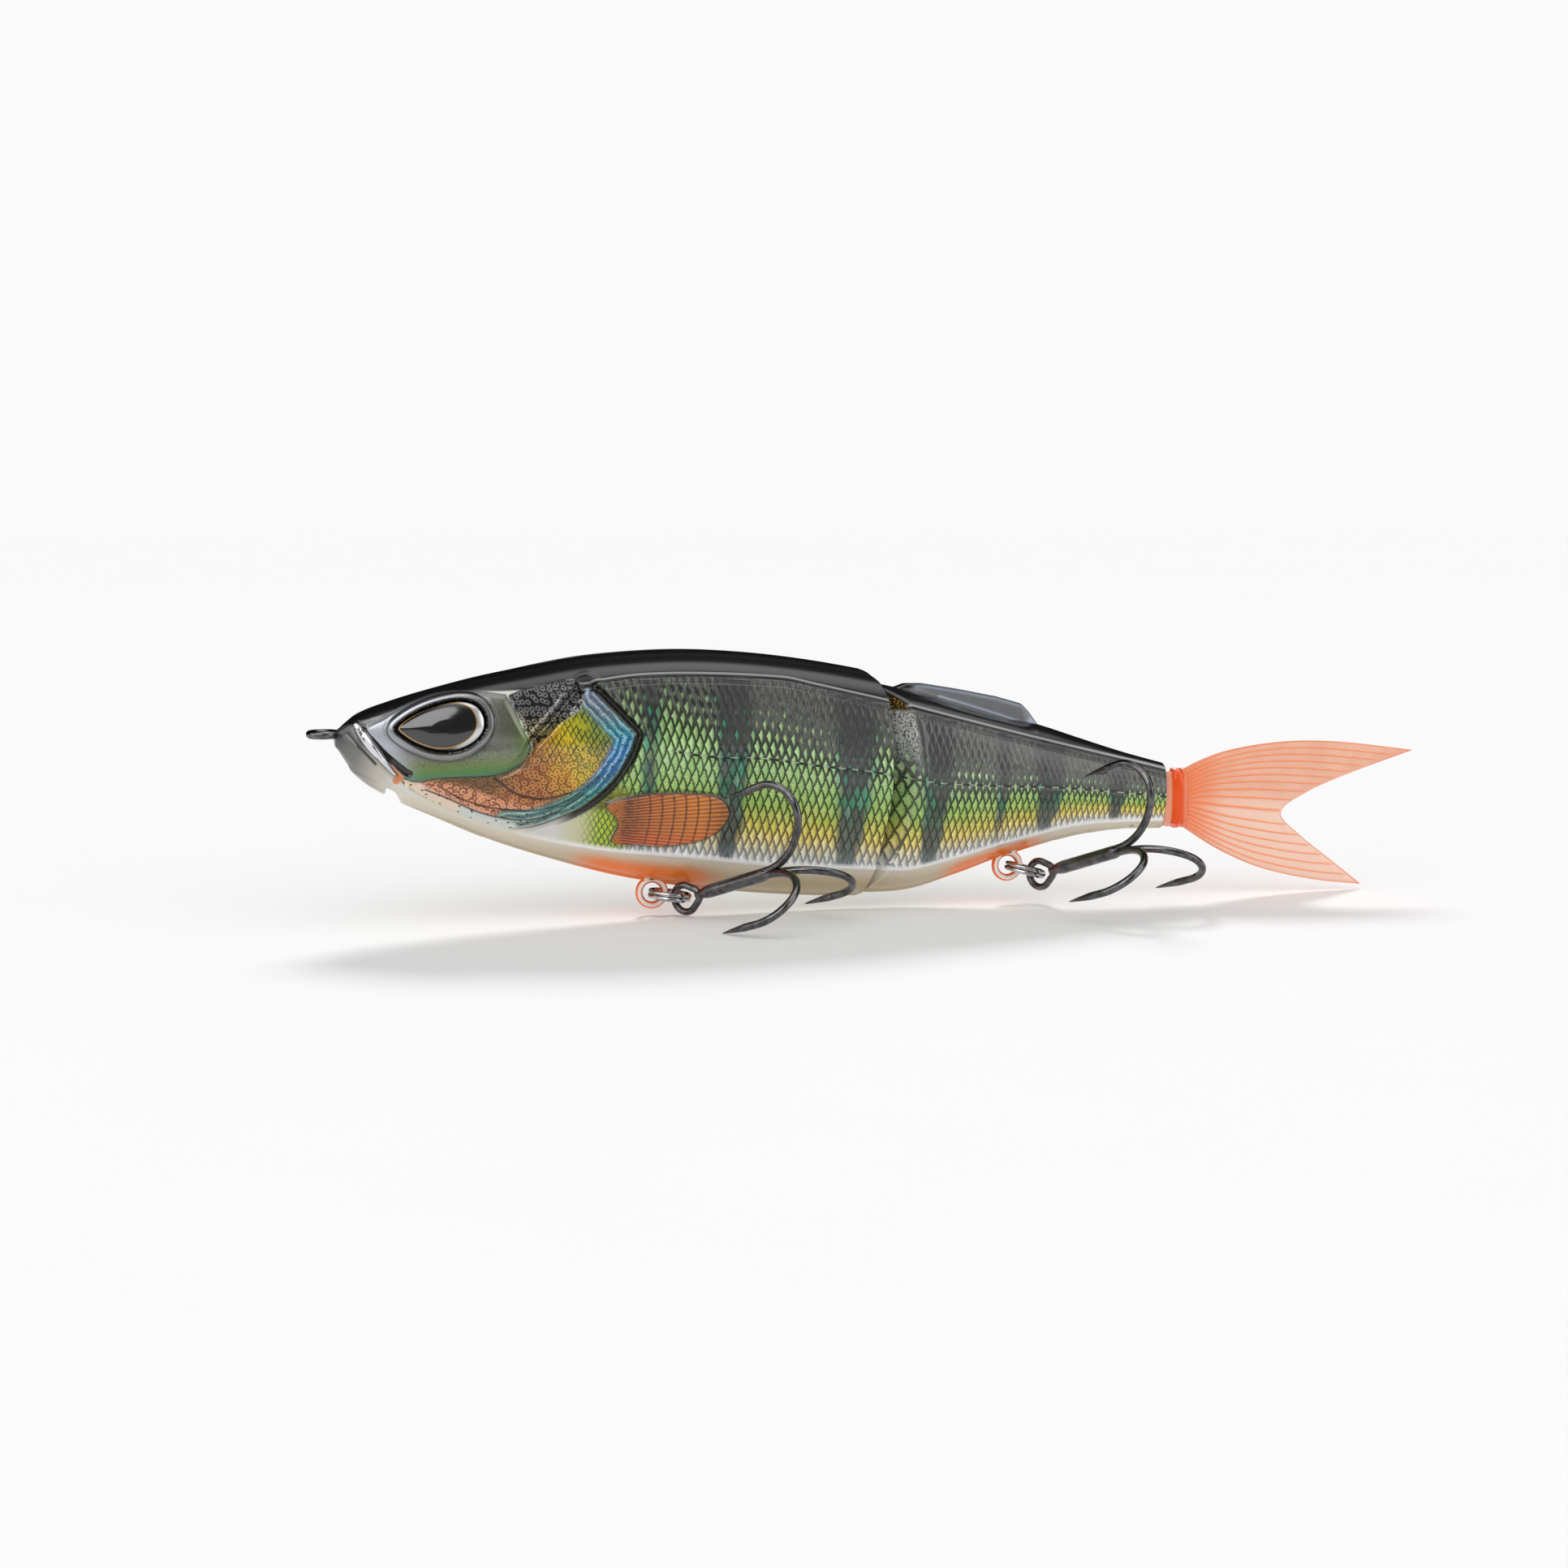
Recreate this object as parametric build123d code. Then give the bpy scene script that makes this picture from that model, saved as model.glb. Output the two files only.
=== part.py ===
from build123d import *
import math
import os

os.makedirs("parts", exist_ok=True)

# Two-piece swimbait, millimetres.  Origin: centre of the line-tie eye on the nose.
# -X is ahead of the fish, +X its tail, +Z up, -Y its left flank.  The lure stands nose-up as it
# would on a table: on the front treble and, behind, on the lower point of its tail.

# ---- outline of the front section, points (x, z) in the middle plane
FRONT_BACK = [(2.0, 0.6), (5.0, 3.0), (10, 4.9), (17, 6.9), (25, 8.8), (34, 10.3), (44, 11.4),
              (54, 11.8), (64, 11.3), (74, 10.1), (84, 8.3), (96, 5.6)]
FRONT_KEEL = [(2.0, -2.2), (5.0, -6.6), (10, -9.9), (17, -13.1), (25, -16.6), (34, -19.7),
              (44, -22.6), (54, -24.6), (64, -25.9), (74, -26.8), (84, -27.2), (96, -26.6)]
FRONT_HALF_WIDTH = [(2.0, 1.5), (5.0, 4.1), (10, 6.1), (17, 7.8), (25, 9.0), (34, 9.8), (44, 10.2),
                    (54, 10.3), (64, 10.2), (74, 10.0), (84, 9.7), (96, 9.1)]
# ---- outline of the rear section
REAR_BACK = [(80, 7.4), (91, 5.0), (100, 2.7), (107, 0.8), (114, -1.2), (120, -3.2),
             (127.5, -5.6), (134.8, -7.6)]
REAR_KEEL = [(80, -26.6), (91, -26.5), (100, -24.1), (107, -21.8), (114, -19.9), (120, -18.6),
             (127.5, -17.8), (134.8, -17.9)]
REAR_HALF_WIDTH = [(80, 9.9), (91, 9.4), (100, 8.5), (107, 7.4), (114, 6.1), (120, 4.9),
                   (127.5, 3.5), (134.8, 2.5)]
# ---- shape of every cross-section: (share of the half width, share of the height, from the top)
SECTION_SHAPE = [(0.0, 0.0), (0.42, 0.02), (0.86, 0.10), (1.0, 0.38), (0.94, 0.56), (0.70, 0.75),
                 (0.53, 0.87), (0.24, 0.975), (0.0, 1.0)]
WALL = 1.7                   # wall of the moulded shells
EDGE_WALLS = 1.35            # how many walls thick the shells are along back and keel
FAR = 40                     # beyond any surface of the body, for cuts that go right through
# solid blocks inside the front section, (x limits, z limits): around the line tie, a bulkhead,
# around the hanger and the ballast, and around the hinge eyes
FRONT_BLOCKS = [((0, 14.5), (-12, 8)), ((24, 27), (-FAR, FAR)), ((44.5, 68.5), (-FAR, -15.8)),
                ((69.5, 96), (-FAR, FAR))]
# solid blocks inside the rear section: around the hinge, the ballast, the hanger and the tail
REAR_BLOCKS = [((70, 93), (-FAR, FAR)), ((93, 100.5), (-FAR, -17.2)),
               ((104, 112.8), (-FAR, -15)), ((123.5, 140), (-FAR, FAR))]

# ---- hinge between the two sections
HINGE_X = 87.5
HINGE_RANGE = 24             # degrees each way
HINGE_SPARE = 1.5            # degrees left open between the sections at the end of the range
KNUCKLE_R = 3.9              # round nose of the rear section, about the hinge axis
GROOVE_R = 4.3               # round groove of the front section that it turns in
REAR_SHOULDER_X = 91.5       # where the rear section's bevel meets its flank
TOP_CORNER = (84.6, 8.6)     # on the slope of 45 degrees where the front section's back ends
PIN_R = 0.75
PIN_HOLE_R = 0.78
PIN_TOP_Z = 1.0
PIN_BOTTOM_Z = -22.4
HINGE_EYE_Z = (-3.0, -17.5)  # heights of the two hinge eyes
HINGE_EYE_WIRE = 0.62
HINGE_EYE_R = 1.45
HINGE_EYE_RUN = 11.5         # from the hinge axis forward to the anchor ring
HINGE_SLOT_HALF = 0.95       # half height of the slots that the eyes work in
HINGE_SLOT_R = 2.6           # round end of a slot, which is twice as wide
HINGE_SLOT_MOUTH = 8

# ---- dorsal fin moulded on the rear section, points (x, z)
FIN_LINE = [(86.0, 5.0), (91.0, 6.4), (94.0, 6.3), (100, 5.3), (106, 4.1), (110.2, 2.9),
            (111.2, 2.0), (113.6, -1.3)]
FIN_HALF_BASE = 2.9
FIN_HALF_TOP = 1.5
FIN_SINK = 1.6               # how deep its foot is in the back
FIN_LEAST = 0.6              # least height above the foot, at its two ends
FIN_CROWN = 0.35             # rise of its top towards the middle plane

# ---- wire fittings
LINE_TIE_R = 1.95
LINE_TIE_WIRE = 0.64
LINE_TIE_SHANK_END = 9.5
LINE_TIE_ANCHOR_R = 1.7
HANGER_R = 2.03
HANGER_WIRE = 0.57
HANGER_SPACING = 4.06        # between the two rings of the figure-eight
FRONT_HANGER = (50.1, -25.6)
REAR_HANGER = (108.4, -23.2)
FIT = 0.04                   # how much wider than a fitting its pocket is

# ---- split rings and treble hooks
SPLIT_R = 3.05
SPLIT_WIRE = 0.36
SPLIT_PITCH = 0.70           # a little under two wires, so that the turns touch
HOOK_EYE_R = 2.1
HOOK_EYE_WIRE = 0.55
HOOK_WIRE = 0.6
HOOK_SHANK_R = 1.05
HOOK_SHANK = (2.3, 17.3)
HOOK_ARM_START = (16.4, 0.45)
HOOK_BEND = ((9.2, 68), (4.9, 114))   # radius and turn of the two arcs of a bend
HOOK_POINT_RUN = 2.3
HOOK_POINT_LENGTH = 4.4
HOOK_TIP_R = 0.08
# how each ring and hook lies at rest: bearing of the ring and of the hook, both towards the left
# flank, droop of the ring, rise of the hook's shank and its lean about the shank, degrees
FRONT_LIE = dict(ring=34, hook=50, droop=8, rise=18, lean=5)
REAR_LIE = dict(ring=20, hook=59, droop=15, rise=18, lean=0)

# ---- tail
TAIL_AXIS_X = 137.2
TAIL_KNUCKLE_R = 1.55
TAIL_GAP = 0.3
SOCKET_X = (126.0, 134.8)
SOCKET_Z = (-15.6, -10.2)
SOCKET_HALF_WIDTH = 1.15
COLLAR_X = (134.82, 136.85)
COLLAR_Z = (-17.9, -8.0)
COLLAR_HALF_WIDTH = 2.0
COLLAR_ROUND = 0.9
TAIL_PIN_X = 129.6
TAIL_PIN_R = 0.6
TAIL_PIN_PLAY = 0.02
TAIL_PIN_REACH = 1.0         # above the socket, and its bore a little further
TAIL_PIN_BORE = 1.2
TAIL_PIN_COVER = 0.3         # between its lower end and the keel
NECK_SHORT = 0.4             # how much lower the neck is than the collar, above and below
NECK_HALF = 1.1
FIN_ROOT_X = 139.0
FIN_PLAN = [(138.0, 1.2), (150, 0.9), (182, 0.45)]   # half thickness of the blade at x
TAIL_OUTLINE_UPPER = [(139.0, -8.4), (142.0, -6.9), (146.5, -5.5), (153.0, -4.4), (160.0, -4.1),
                      (168.0, -4.6), (179.8, -6.1)]
TAIL_OUTLINE_TRAILING = [(179.8, -6.1), (168.0, -9.8), (160.4, -12.8), (156.0, -16.0),
                         (159.5, -19.8), (164.6, -23.7), (170.8, -28.4)]
TAIL_OUTLINE_LOWER = [(170.8, -28.4), (164.0, -27.6), (157.2, -26.3), (151.0, -24.5),
                      (144.5, -21.6), (139.0, -17.9)]

# ---- eyes
EYE_CENTRE = (18.4, 1.5)
EYE_ROUND_R = 4.0
EYE_POINT = 8.6              # from the centre forward to the pointed corner
EYE_TURN = 10.5              # how far the side of the head is turned forward, degrees
EYE_TILT = 9                 # and upward
EYE_PLANE_Y = 8.3
EYE_SINK = 1.1
EYE_POCKET = 12              # height of the cut for the eye, out past the cheek
FOIL_THICK = 0.35
LENS_THICK = 1.6
DOME_R = 15.5
DOME_TOP = (-1.2, 1.35)      # summit of the dome in the eye's plane: towards the tail, and up

# ---- ballast
FRONT_BALLAST = dict(x=62.4, z=-20.2, r=2.6, length=13)
REAR_BALLAST = dict(x=96.5, z=-19.8, r=1.7, length=6)


def along(points, x):
    """Height or width at x on a smooth line through the points."""
    for i in range(len(points) - 1):
        if x <= points[i + 1][0] or i == len(points) - 2:
            break
    before, (x0, v0) = points[max(i - 1, 0)], points[i]
    (x1, v1), after = points[i + 1], points[min(i + 2, len(points) - 1)]
    slope0 = (v1 - before[1]) / (x1 - before[0])
    slope1 = (after[1] - v0) / (after[0] - x0)
    span, t = x1 - x0, (x - x0) / (x1 - x0)
    keep, push = t * t * (3 - 2 * t), t * (1 - t)
    return v0 + (v1 - v0) * keep + span * push * (slope0 * (1 - t) - slope1 * t)


def half_section(x, back, keel, width, inset=0.0):
    """Right half of the cross-section at x, as a face square to X."""
    top = along(back, x) - inset * EDGE_WALLS
    bottom = along(keel, x) + inset * EDGE_WALLS
    half = along(width, x) - inset
    points = [(half * across, top - (top - bottom) * down) for across, down in SECTION_SHAPE]
    outline = Spline(*points, tangents=[(1, 0), (-1, 0)])
    closing = Line(points[-1], points[0])
    plane = Plane(origin=(x, 0, 0), x_dir=(0, 1, 0), z_dir=(1, 0, 0))
    return plane * make_face(Curve([outline, closing]))


def half_body(stations, back, keel, width, inset=0.0):
    return loft([half_section(x, back, keel, width, inset) for x in stations])


def box_between(x, y, z):
    """A box from its two limits along each axis."""
    size = [b - a for a, b in (x, y, z)]
    centre = [(a + b) / 2 for a, b in (x, y, z)]
    return Pos(*centre) * Box(*size)


def rod(start, end, radius):
    """A round bar between two points."""
    start, end = Vector(*start), Vector(*end)
    run = end - start
    return Plane(origin=start, z_dir=run) * Cylinder(
        radius, run.length, align=(Align.CENTER, Align.CENTER, Align.MIN))


def left_of(solid):
    return mirror(solid, Plane.XZ)


# ---------------------------------------------------------------- wire fittings
def line_tie(grow=0.0):
    """Horizontal eye ahead of the nose, its shank and the anchor ring inside the head."""
    wire = LINE_TIE_WIRE + grow
    eye = Torus(LINE_TIE_R, wire)
    shank = rod((LINE_TIE_R, 0, 0), (LINE_TIE_SHANK_END - LINE_TIE_ANCHOR_R, 0, 0), wire)
    anchor = Pos(LINE_TIE_SHANK_END, 0, 0) * Torus(LINE_TIE_ANCHOR_R, wire)
    return eye + shank + anchor


def hanger(place, grow=0.0):
    """Figure-eight wire: one ring below the belly, one moulded in."""
    x, z = place
    ring = Rot(X=90) * Torus(HANGER_R, HANGER_WIRE + grow)
    return Pos(x, 0, z) * ring + Pos(x, 0, z + HANGER_SPACING) * ring


def hinge_eye(z, grow=0.0):
    """Wire loop around the hinge pin with a shank and anchor ring in the front section."""
    wire = HINGE_EYE_WIRE + grow
    loop = Pos(HINGE_X, 0, z) * Torus(HINGE_EYE_R, wire)
    anchor_x = HINGE_X - HINGE_EYE_RUN
    shank = rod((HINGE_X - HINGE_EYE_R, 0, z), (anchor_x + HINGE_EYE_R, 0, z), wire)
    return loop + shank + Pos(anchor_x, 0, z) * Torus(HINGE_EYE_R, wire)


def hinge_pin():
    return rod((HINGE_X, 0, PIN_BOTTOM_Z), (HINGE_X, 0, PIN_TOP_Z), PIN_R)


def ballast(size, grow=0.0):
    half = size["length"] / 2
    centre = Vector(size["x"], 0, size["z"])
    return rod(centre - (half, 0, 0), centre + (half, 0, 0), size["r"] + grow)


# ---------------------------------------------------------------- eyes
def eye_outline():
    """Teardrop, round behind and drawn out to a corner ahead."""
    reach = math.acos(EYE_ROUND_R / EYE_POINT)
    across, up = -EYE_ROUND_R * math.cos(reach), EYE_ROUND_R * math.sin(reach)
    corner = (-EYE_POINT, 0)
    round_end = ThreePointArc((across, up), (EYE_ROUND_R, 0), (across, -up))
    return make_face(Curve([Line(corner, (across, up)), round_end, Line((across, -up), corner)]))


def eye_plane(depth):
    """Plane of the right eye, its x axis towards the tail, at a depth below the cheek."""
    base = Pos(EYE_CENTRE[0], EYE_PLANE_Y, EYE_CENTRE[1]) * Rot(X=EYE_TILT) * Rot(Z=EYE_TURN)
    return base * Pos(0, -depth, 0) * Rot(X=90) * Rot(X=180)


def eye_solid(depth, thick):
    return eye_plane(depth) * extrude(eye_outline(), thick)


def eye_foil():
    return eye_solid(EYE_SINK, FOIL_THICK)


def eye_lens():
    """Clear dome over the foil."""
    back, summit = DOME_TOP
    depth = EYE_SINK - FOIL_THICK
    dome = eye_plane(depth) * Pos(back, 0, summit - DOME_R) * Sphere(DOME_R)
    return eye_solid(depth, LENS_THICK) & dome


# ---------------------------------------------------------------- sections of the body
def hinge_slots():
    """Room in the rear section's nose for the two hinge eyes."""
    slots = []
    for z in HINGE_EYE_Z:
        height = (z - HINGE_SLOT_HALF, z + HINGE_SLOT_HALF)
        mouth = box_between((HINGE_X - HINGE_SLOT_MOUTH, HINGE_X), (-HINGE_SLOT_R, HINGE_SLOT_R), height)
        seat = Pos(HINGE_X, 0, z) * Cylinder(HINGE_SLOT_R, 2 * HINGE_SLOT_HALF)
        slots += [mouth, seat]
    return Compound(slots)


def bevel_angle():
    """Angle from X of the rear section's bevel, from its shoulder to its round nose."""
    run = REAR_SHOULDER_X - HINGE_X
    shoulder_y = along(REAR_HALF_WIDTH, REAR_SHOULDER_X)
    angle = math.atan2(shoulder_y, run) - math.asin(KNUCKLE_R / math.hypot(run, shoulder_y))
    return math.degrees(angle)


def wedge_ahead(angle, radius):
    """All on the right that lies ahead of a round about the hinge and of its tangent."""
    turn = math.radians(angle)
    middle = (math.pi / 2 - turn) / 2
    touch = (-radius * math.sin(turn), radius * math.cos(turn))
    far = (touch[0] + FAR * math.cos(turn), touch[1] + FAR * math.sin(turn))
    halfway = (-radius * math.cos(middle), radius * math.sin(middle))
    round_side = ThreePointArc((-radius, 0), halfway, touch)
    straight = Polyline(touch, far, (-FAR, far[1]), (-FAR, 0), (-radius, 0))
    plan = make_face(Curve([round_side, *straight.edges()]))
    return Pos(HINGE_X, 0, -FAR) * extrude(plan, 2 * FAR)


def wedge_behind(angle, radius):
    """All on the right that lies behind that round and its tangent."""
    whole = box_between((HINGE_X - radius, HINGE_X + FAR), (0, FAR), (-FAR, FAR))
    return whole - wedge_ahead(angle, radius)


def hollowed(outer, cavity, blocks):
    """A shell with a cavity that leaves its blocks standing."""
    for x, z in blocks:
        cavity = cavity - box_between(x, (-1, FAR), z)
    return outer - cavity


def without(solid, fittings):
    for fitting in fittings:
        solid = solid - fitting
    return solid


def right_front_shell():
    stations = [x for x, _ in FRONT_BACK]
    outer = half_body(stations, FRONT_BACK, FRONT_KEEL, FRONT_HALF_WIDTH)
    outer = outer - wedge_behind(bevel_angle() + HINGE_RANGE + HINGE_SPARE, GROOVE_R)
    corner_x, corner_z = TOP_CORNER
    slope = Plane(origin=(corner_x, 0, corner_z), x_dir=(1, 0, -1), z_dir=(1, 0, 1))
    outer = outer - slope * Pos(0, 0, FAR / 2) * Box(FAR, FAR, FAR)
    cavity = half_body(stations[2:-1], FRONT_BACK, FRONT_KEEL, FRONT_HALF_WIDTH, WALL)
    fittings = [eye_solid(EYE_SINK, EYE_POCKET), line_tie(FIT), hanger(FRONT_HANGER, FIT),
                ballast(FRONT_BALLAST, FIT), *(hinge_eye(z, FIT) for z in HINGE_EYE_Z)]
    return without(hollowed(outer, cavity, FRONT_BLOCKS), fittings)


def right_rear_shell():
    stations = [x for x, _ in REAR_BACK]
    outer = half_body(stations, REAR_BACK, REAR_KEEL, REAR_HALF_WIDTH) + dorsal_fin()
    outer = outer - wedge_ahead(bevel_angle(), KNUCKLE_R)
    cavity = half_body(stations[1:-1], REAR_BACK, REAR_KEEL, REAR_HALF_WIDTH, WALL)
    pin_hole = rod((HINGE_X, 0, PIN_BOTTOM_Z), (HINGE_X, 0, FAR), PIN_HOLE_R)
    fittings = [hinge_slots(), pin_hole, hanger(REAR_HANGER, FIT), ballast(REAR_BALLAST, FIT),
                tail_plug(FIT), tail_pin_bore()]
    return without(hollowed(outer, cavity, REAR_BLOCKS), fittings)


def dorsal_fin():
    """Blade on the rear section's back, right half."""
    sections = []
    for x, top in FIN_LINE:
        base = along(REAR_BACK, x) - FIN_SINK
        top = max(top, base + FIN_LEAST)
        points = [(0, base), (FIN_HALF_BASE, base), (FIN_HALF_TOP, top - FIN_CROWN), (0, top)]
        plane = Plane(origin=(x, 0, 0), x_dir=(0, 1, 0), z_dir=(1, 0, 0))
        sections.append(plane * make_face(Polyline(*points, close=True)))
    return loft(sections, ruled=True)


# ---------------------------------------------------------------- tail
def tail_plug(grow=0.0):
    """Part of the soft tail that sits in the rear section."""
    half, (bottom, top) = SOCKET_HALF_WIDTH + grow, SOCKET_Z
    return box_between((SOCKET_X[0] - grow, TAIL_AXIS_X), (-half, half), (bottom - grow, top + grow))


def tail_pin_bore():
    return rod((TAIL_PIN_X, 0, -FAR), (TAIL_PIN_X, 0, SOCKET_Z[1] + TAIL_PIN_BORE), TAIL_PIN_R + TAIL_PIN_PLAY)


def tail_pin():
    bottom = along(REAR_KEEL, TAIL_PIN_X) + TAIL_PIN_COVER
    return rod((TAIL_PIN_X, 0, bottom), (TAIL_PIN_X, 0, SOCKET_Z[1] + TAIL_PIN_REACH), TAIL_PIN_R)


def tail_root():
    """Collar behind the rear section and the plug in its socket, with a seat for the knuckle."""
    collar = box_between(COLLAR_X, (-COLLAR_HALF_WIDTH, COLLAR_HALF_WIDTH), COLLAR_Z)
    collar = fillet(collar.edges().filter_by(Axis.X), COLLAR_ROUND)
    plug = box_between((SOCKET_X[0], COLLAR_X[1]), (-SOCKET_HALF_WIDTH, SOCKET_HALF_WIDTH), SOCKET_Z)
    seat = rod((TAIL_AXIS_X, 0, -FAR), (TAIL_AXIS_X, 0, 0), TAIL_KNUCKLE_R + TAIL_GAP)
    return collar + plug - seat - rod((TAIL_PIN_X, 0, -FAR), (TAIL_PIN_X, 0, 0), TAIL_PIN_R)


def tail_fin():
    """Forked blade that thins towards its edge, and its knuckle."""
    bottom, top = COLLAR_Z[0] + NECK_SHORT, COLLAR_Z[1] - NECK_SHORT
    knuckle = rod((TAIL_AXIS_X, 0, bottom), (TAIL_AXIS_X, 0, top), TAIL_KNUCKLE_R)
    neck = box_between((TAIL_AXIS_X, FIN_ROOT_X + 1), (-NECK_HALF, NECK_HALF), (bottom, top))
    outline = Curve([Spline(*TAIL_OUTLINE_UPPER), Spline(*TAIL_OUTLINE_TRAILING),
                     Spline(*TAIL_OUTLINE_LOWER), Line(TAIL_OUTLINE_LOWER[-1], TAIL_OUTLINE_UPPER[0])])
    blade = extrude(Plane.XZ * make_face(outline), 2 * FIN_PLAN[0][1], both=True)
    other_side = [(x, -half) for x, half in reversed(FIN_PLAN)]
    plan = make_face(Polyline(*FIN_PLAN, *other_side, close=True))
    taper = Pos(0, 0, -FAR) * extrude(plan, FAR)
    return knuckle + neck + (blade & taper)


# ---------------------------------------------------------------- split rings and hooks
def split_ring():
    """Two touching turns of round wire, about Z."""
    turn = Torus(SPLIT_R, SPLIT_WIRE)
    return Pos(0, 0, SPLIT_PITCH / 2) * turn + Pos(0, 0, -SPLIT_PITCH / 2) * turn


def hook_arm():
    """One arm in the XZ plane: bend, straight run and sharpened point."""
    x, z = HOOK_ARM_START
    heading = 0.0
    edges = []
    for radius, turn in HOOK_BEND:
        side = math.radians(heading + 90)
        centre = (x + radius * math.cos(side), z + radius * math.sin(side))
        edges.append(CenterArc(centre, radius, heading - 90, turn))
        heading += turn
        end = math.radians(heading - 90)
        x, z = centre[0] + radius * math.cos(end), centre[1] + radius * math.sin(end)
    way = Vector(math.cos(math.radians(heading)), math.sin(math.radians(heading)))
    straight_end = Vector(x, z) + way * HOOK_POINT_RUN
    edges.append(Line((x, z), (straight_end.X, straight_end.Y)))
    path = Plane.XZ * Curve(edges)
    start = Plane(origin=(HOOK_ARM_START[0], 0, HOOK_ARM_START[1]), z_dir=(1, 0, 0))
    wire = sweep(start * Circle(HOOK_WIRE), path=Wire(path.edges()))
    point_plane = Plane(origin=(straight_end.X, 0, straight_end.Y), z_dir=(way.X, 0, way.Y))
    point = point_plane * Cone(HOOK_WIRE, HOOK_TIP_R, HOOK_POINT_LENGTH,
                               align=(Align.CENTER, Align.CENTER, Align.MIN))
    return wire + point


def treble():
    """Treble hook, eye at the origin, shank along +X, one arm up in the XZ plane of the eye."""
    eye = Rot(X=90) * Torus(HOOK_EYE_R, HOOK_EYE_WIRE)
    shank = rod((HOOK_SHANK[0], 0, 0), (HOOK_SHANK[1], 0, 0), HOOK_SHANK_R)
    hook = eye + shank
    arm = hook_arm()
    for turn in (0, 120, 240):
        hook = hook + Rot(X=turn) * arm
    return hook


def ring_frame(place, lie):
    """Where the split ring's centre is, with its x axis away from the hanger."""
    x, z = place
    return Pos(x, 0, z) * Rot(Y=lie["droop"]) * Rot(Z=-lie["ring"]) * Pos(SPLIT_R, 0, 0)


def hook_frame(place, lie):
    """Where the treble's eye is, with its shank along x."""
    eye = ring_frame(place, lie) * Rot(Z=lie["ring"] - lie["hook"]) * Pos(SPLIT_R, 0, 0)
    where = Pos(*eye.position)
    return where * Rot(Z=-lie["hook"]) * Rot(Y=-lie["rise"]) * Rot(X=lie["lean"])


def build():
    """Every sub-part in its own place."""
    front, rear = right_front_shell(), right_rear_shell()
    parts = {
        "front_shell_right": front,
        "front_shell_left": left_of(front),
        "rear_shell_right": rear,
        "rear_shell_left": left_of(rear),
        "line_tie": line_tie(),
        "front_hook_hanger": hanger(FRONT_HANGER),
        "rear_hook_hanger": hanger(REAR_HANGER),
        "upper_hinge_eye": hinge_eye(HINGE_EYE_Z[0]),
        "lower_hinge_eye": hinge_eye(HINGE_EYE_Z[1]),
        "hinge_pin": hinge_pin(),
        "front_ballast": ballast(FRONT_BALLAST),
        "rear_ballast": ballast(REAR_BALLAST),
        "tail_root": tail_root(),
        "tail_fin": tail_fin(),
        "tail_pin": tail_pin(),
    }
    for name, piece in (("eye_foil", eye_foil()), ("eye_lens", eye_lens())):
        parts[f"{name}_right"] = piece
        parts[f"{name}_left"] = left_of(piece)
    hook = treble()
    for name, place, lie in (("front", FRONT_HANGER, FRONT_LIE), ("rear", REAR_HANGER, REAR_LIE)):
        parts[f"{name}_split_ring"] = ring_frame(place, lie) * split_ring()
        parts[f"{name}_treble_hook"] = hook_frame(place, lie) * hook
    return parts


for name, part in build().items():
    export_step(part, f"parts/{name}.step")
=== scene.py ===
import math
import bpy
import numpy as np
from mathutils import Matrix, Vector


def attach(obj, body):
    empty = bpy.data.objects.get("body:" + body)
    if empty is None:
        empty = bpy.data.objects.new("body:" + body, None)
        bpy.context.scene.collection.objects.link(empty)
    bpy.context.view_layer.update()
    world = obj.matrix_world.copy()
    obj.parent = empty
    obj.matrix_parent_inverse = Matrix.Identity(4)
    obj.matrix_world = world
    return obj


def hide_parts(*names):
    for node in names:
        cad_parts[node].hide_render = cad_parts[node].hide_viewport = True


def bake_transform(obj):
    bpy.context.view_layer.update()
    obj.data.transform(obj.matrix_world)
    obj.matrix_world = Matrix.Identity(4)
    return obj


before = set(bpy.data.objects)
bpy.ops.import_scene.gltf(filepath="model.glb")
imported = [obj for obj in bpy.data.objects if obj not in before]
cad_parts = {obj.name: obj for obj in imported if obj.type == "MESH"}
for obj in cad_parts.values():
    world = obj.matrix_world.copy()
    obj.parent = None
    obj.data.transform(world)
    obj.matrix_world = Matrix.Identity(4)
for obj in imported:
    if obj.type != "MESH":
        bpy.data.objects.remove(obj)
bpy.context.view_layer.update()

# Lengths below are millimetres in the row frame: origin at the line-tie eye, -X ahead, +Z up, and
# -Y the left flank.  mesh_piece() and the camera turn them into metres with MM.
MM = 0.001

# ---- the moulded outline of both sections, as in the CAD
FRONT_BACK = [(2.0, .6), (5.0, 3.0), (10, 4.9), (17, 6.9), (25, 8.8), (34, 10.3), (44, 11.4),
              (54, 11.8), (64, 11.3), (74, 10.1), (84, 8.3), (96, 5.6)]
FRONT_KEEL = [(2.0, -2.2), (5.0, -6.6), (10, -9.9), (17, -13.1), (25, -16.6), (34, -19.7),
              (44, -22.6), (54, -24.6), (64, -25.9), (74, -26.8), (84, -27.2), (96, -26.6)]
FRONT_HALF_WIDTH = [(2.0, 1.5), (5.0, 4.1), (10, 6.1), (17, 7.8), (25, 9.0), (34, 9.8), (44, 10.2),
                    (54, 10.3), (64, 10.2), (74, 10.0), (84, 9.7), (96, 9.1)]
REAR_BACK = [(80, 7.4), (91, 5.0), (100, 2.7), (107, .8), (114, -1.2), (120, -3.2),
             (127.5, -5.6), (134.8, -7.6)]
REAR_KEEL = [(80, -26.6), (91, -26.5), (100, -24.1), (107, -21.8), (114, -19.9), (120, -18.6),
             (127.5, -17.8), (134.8, -17.9)]
REAR_HALF_WIDTH = [(80, 9.9), (91, 9.4), (100, 8.5), (107, 7.4), (114, 6.1), (120, 4.9),
                   (127.5, 3.5), (134.8, 2.5)]
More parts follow.
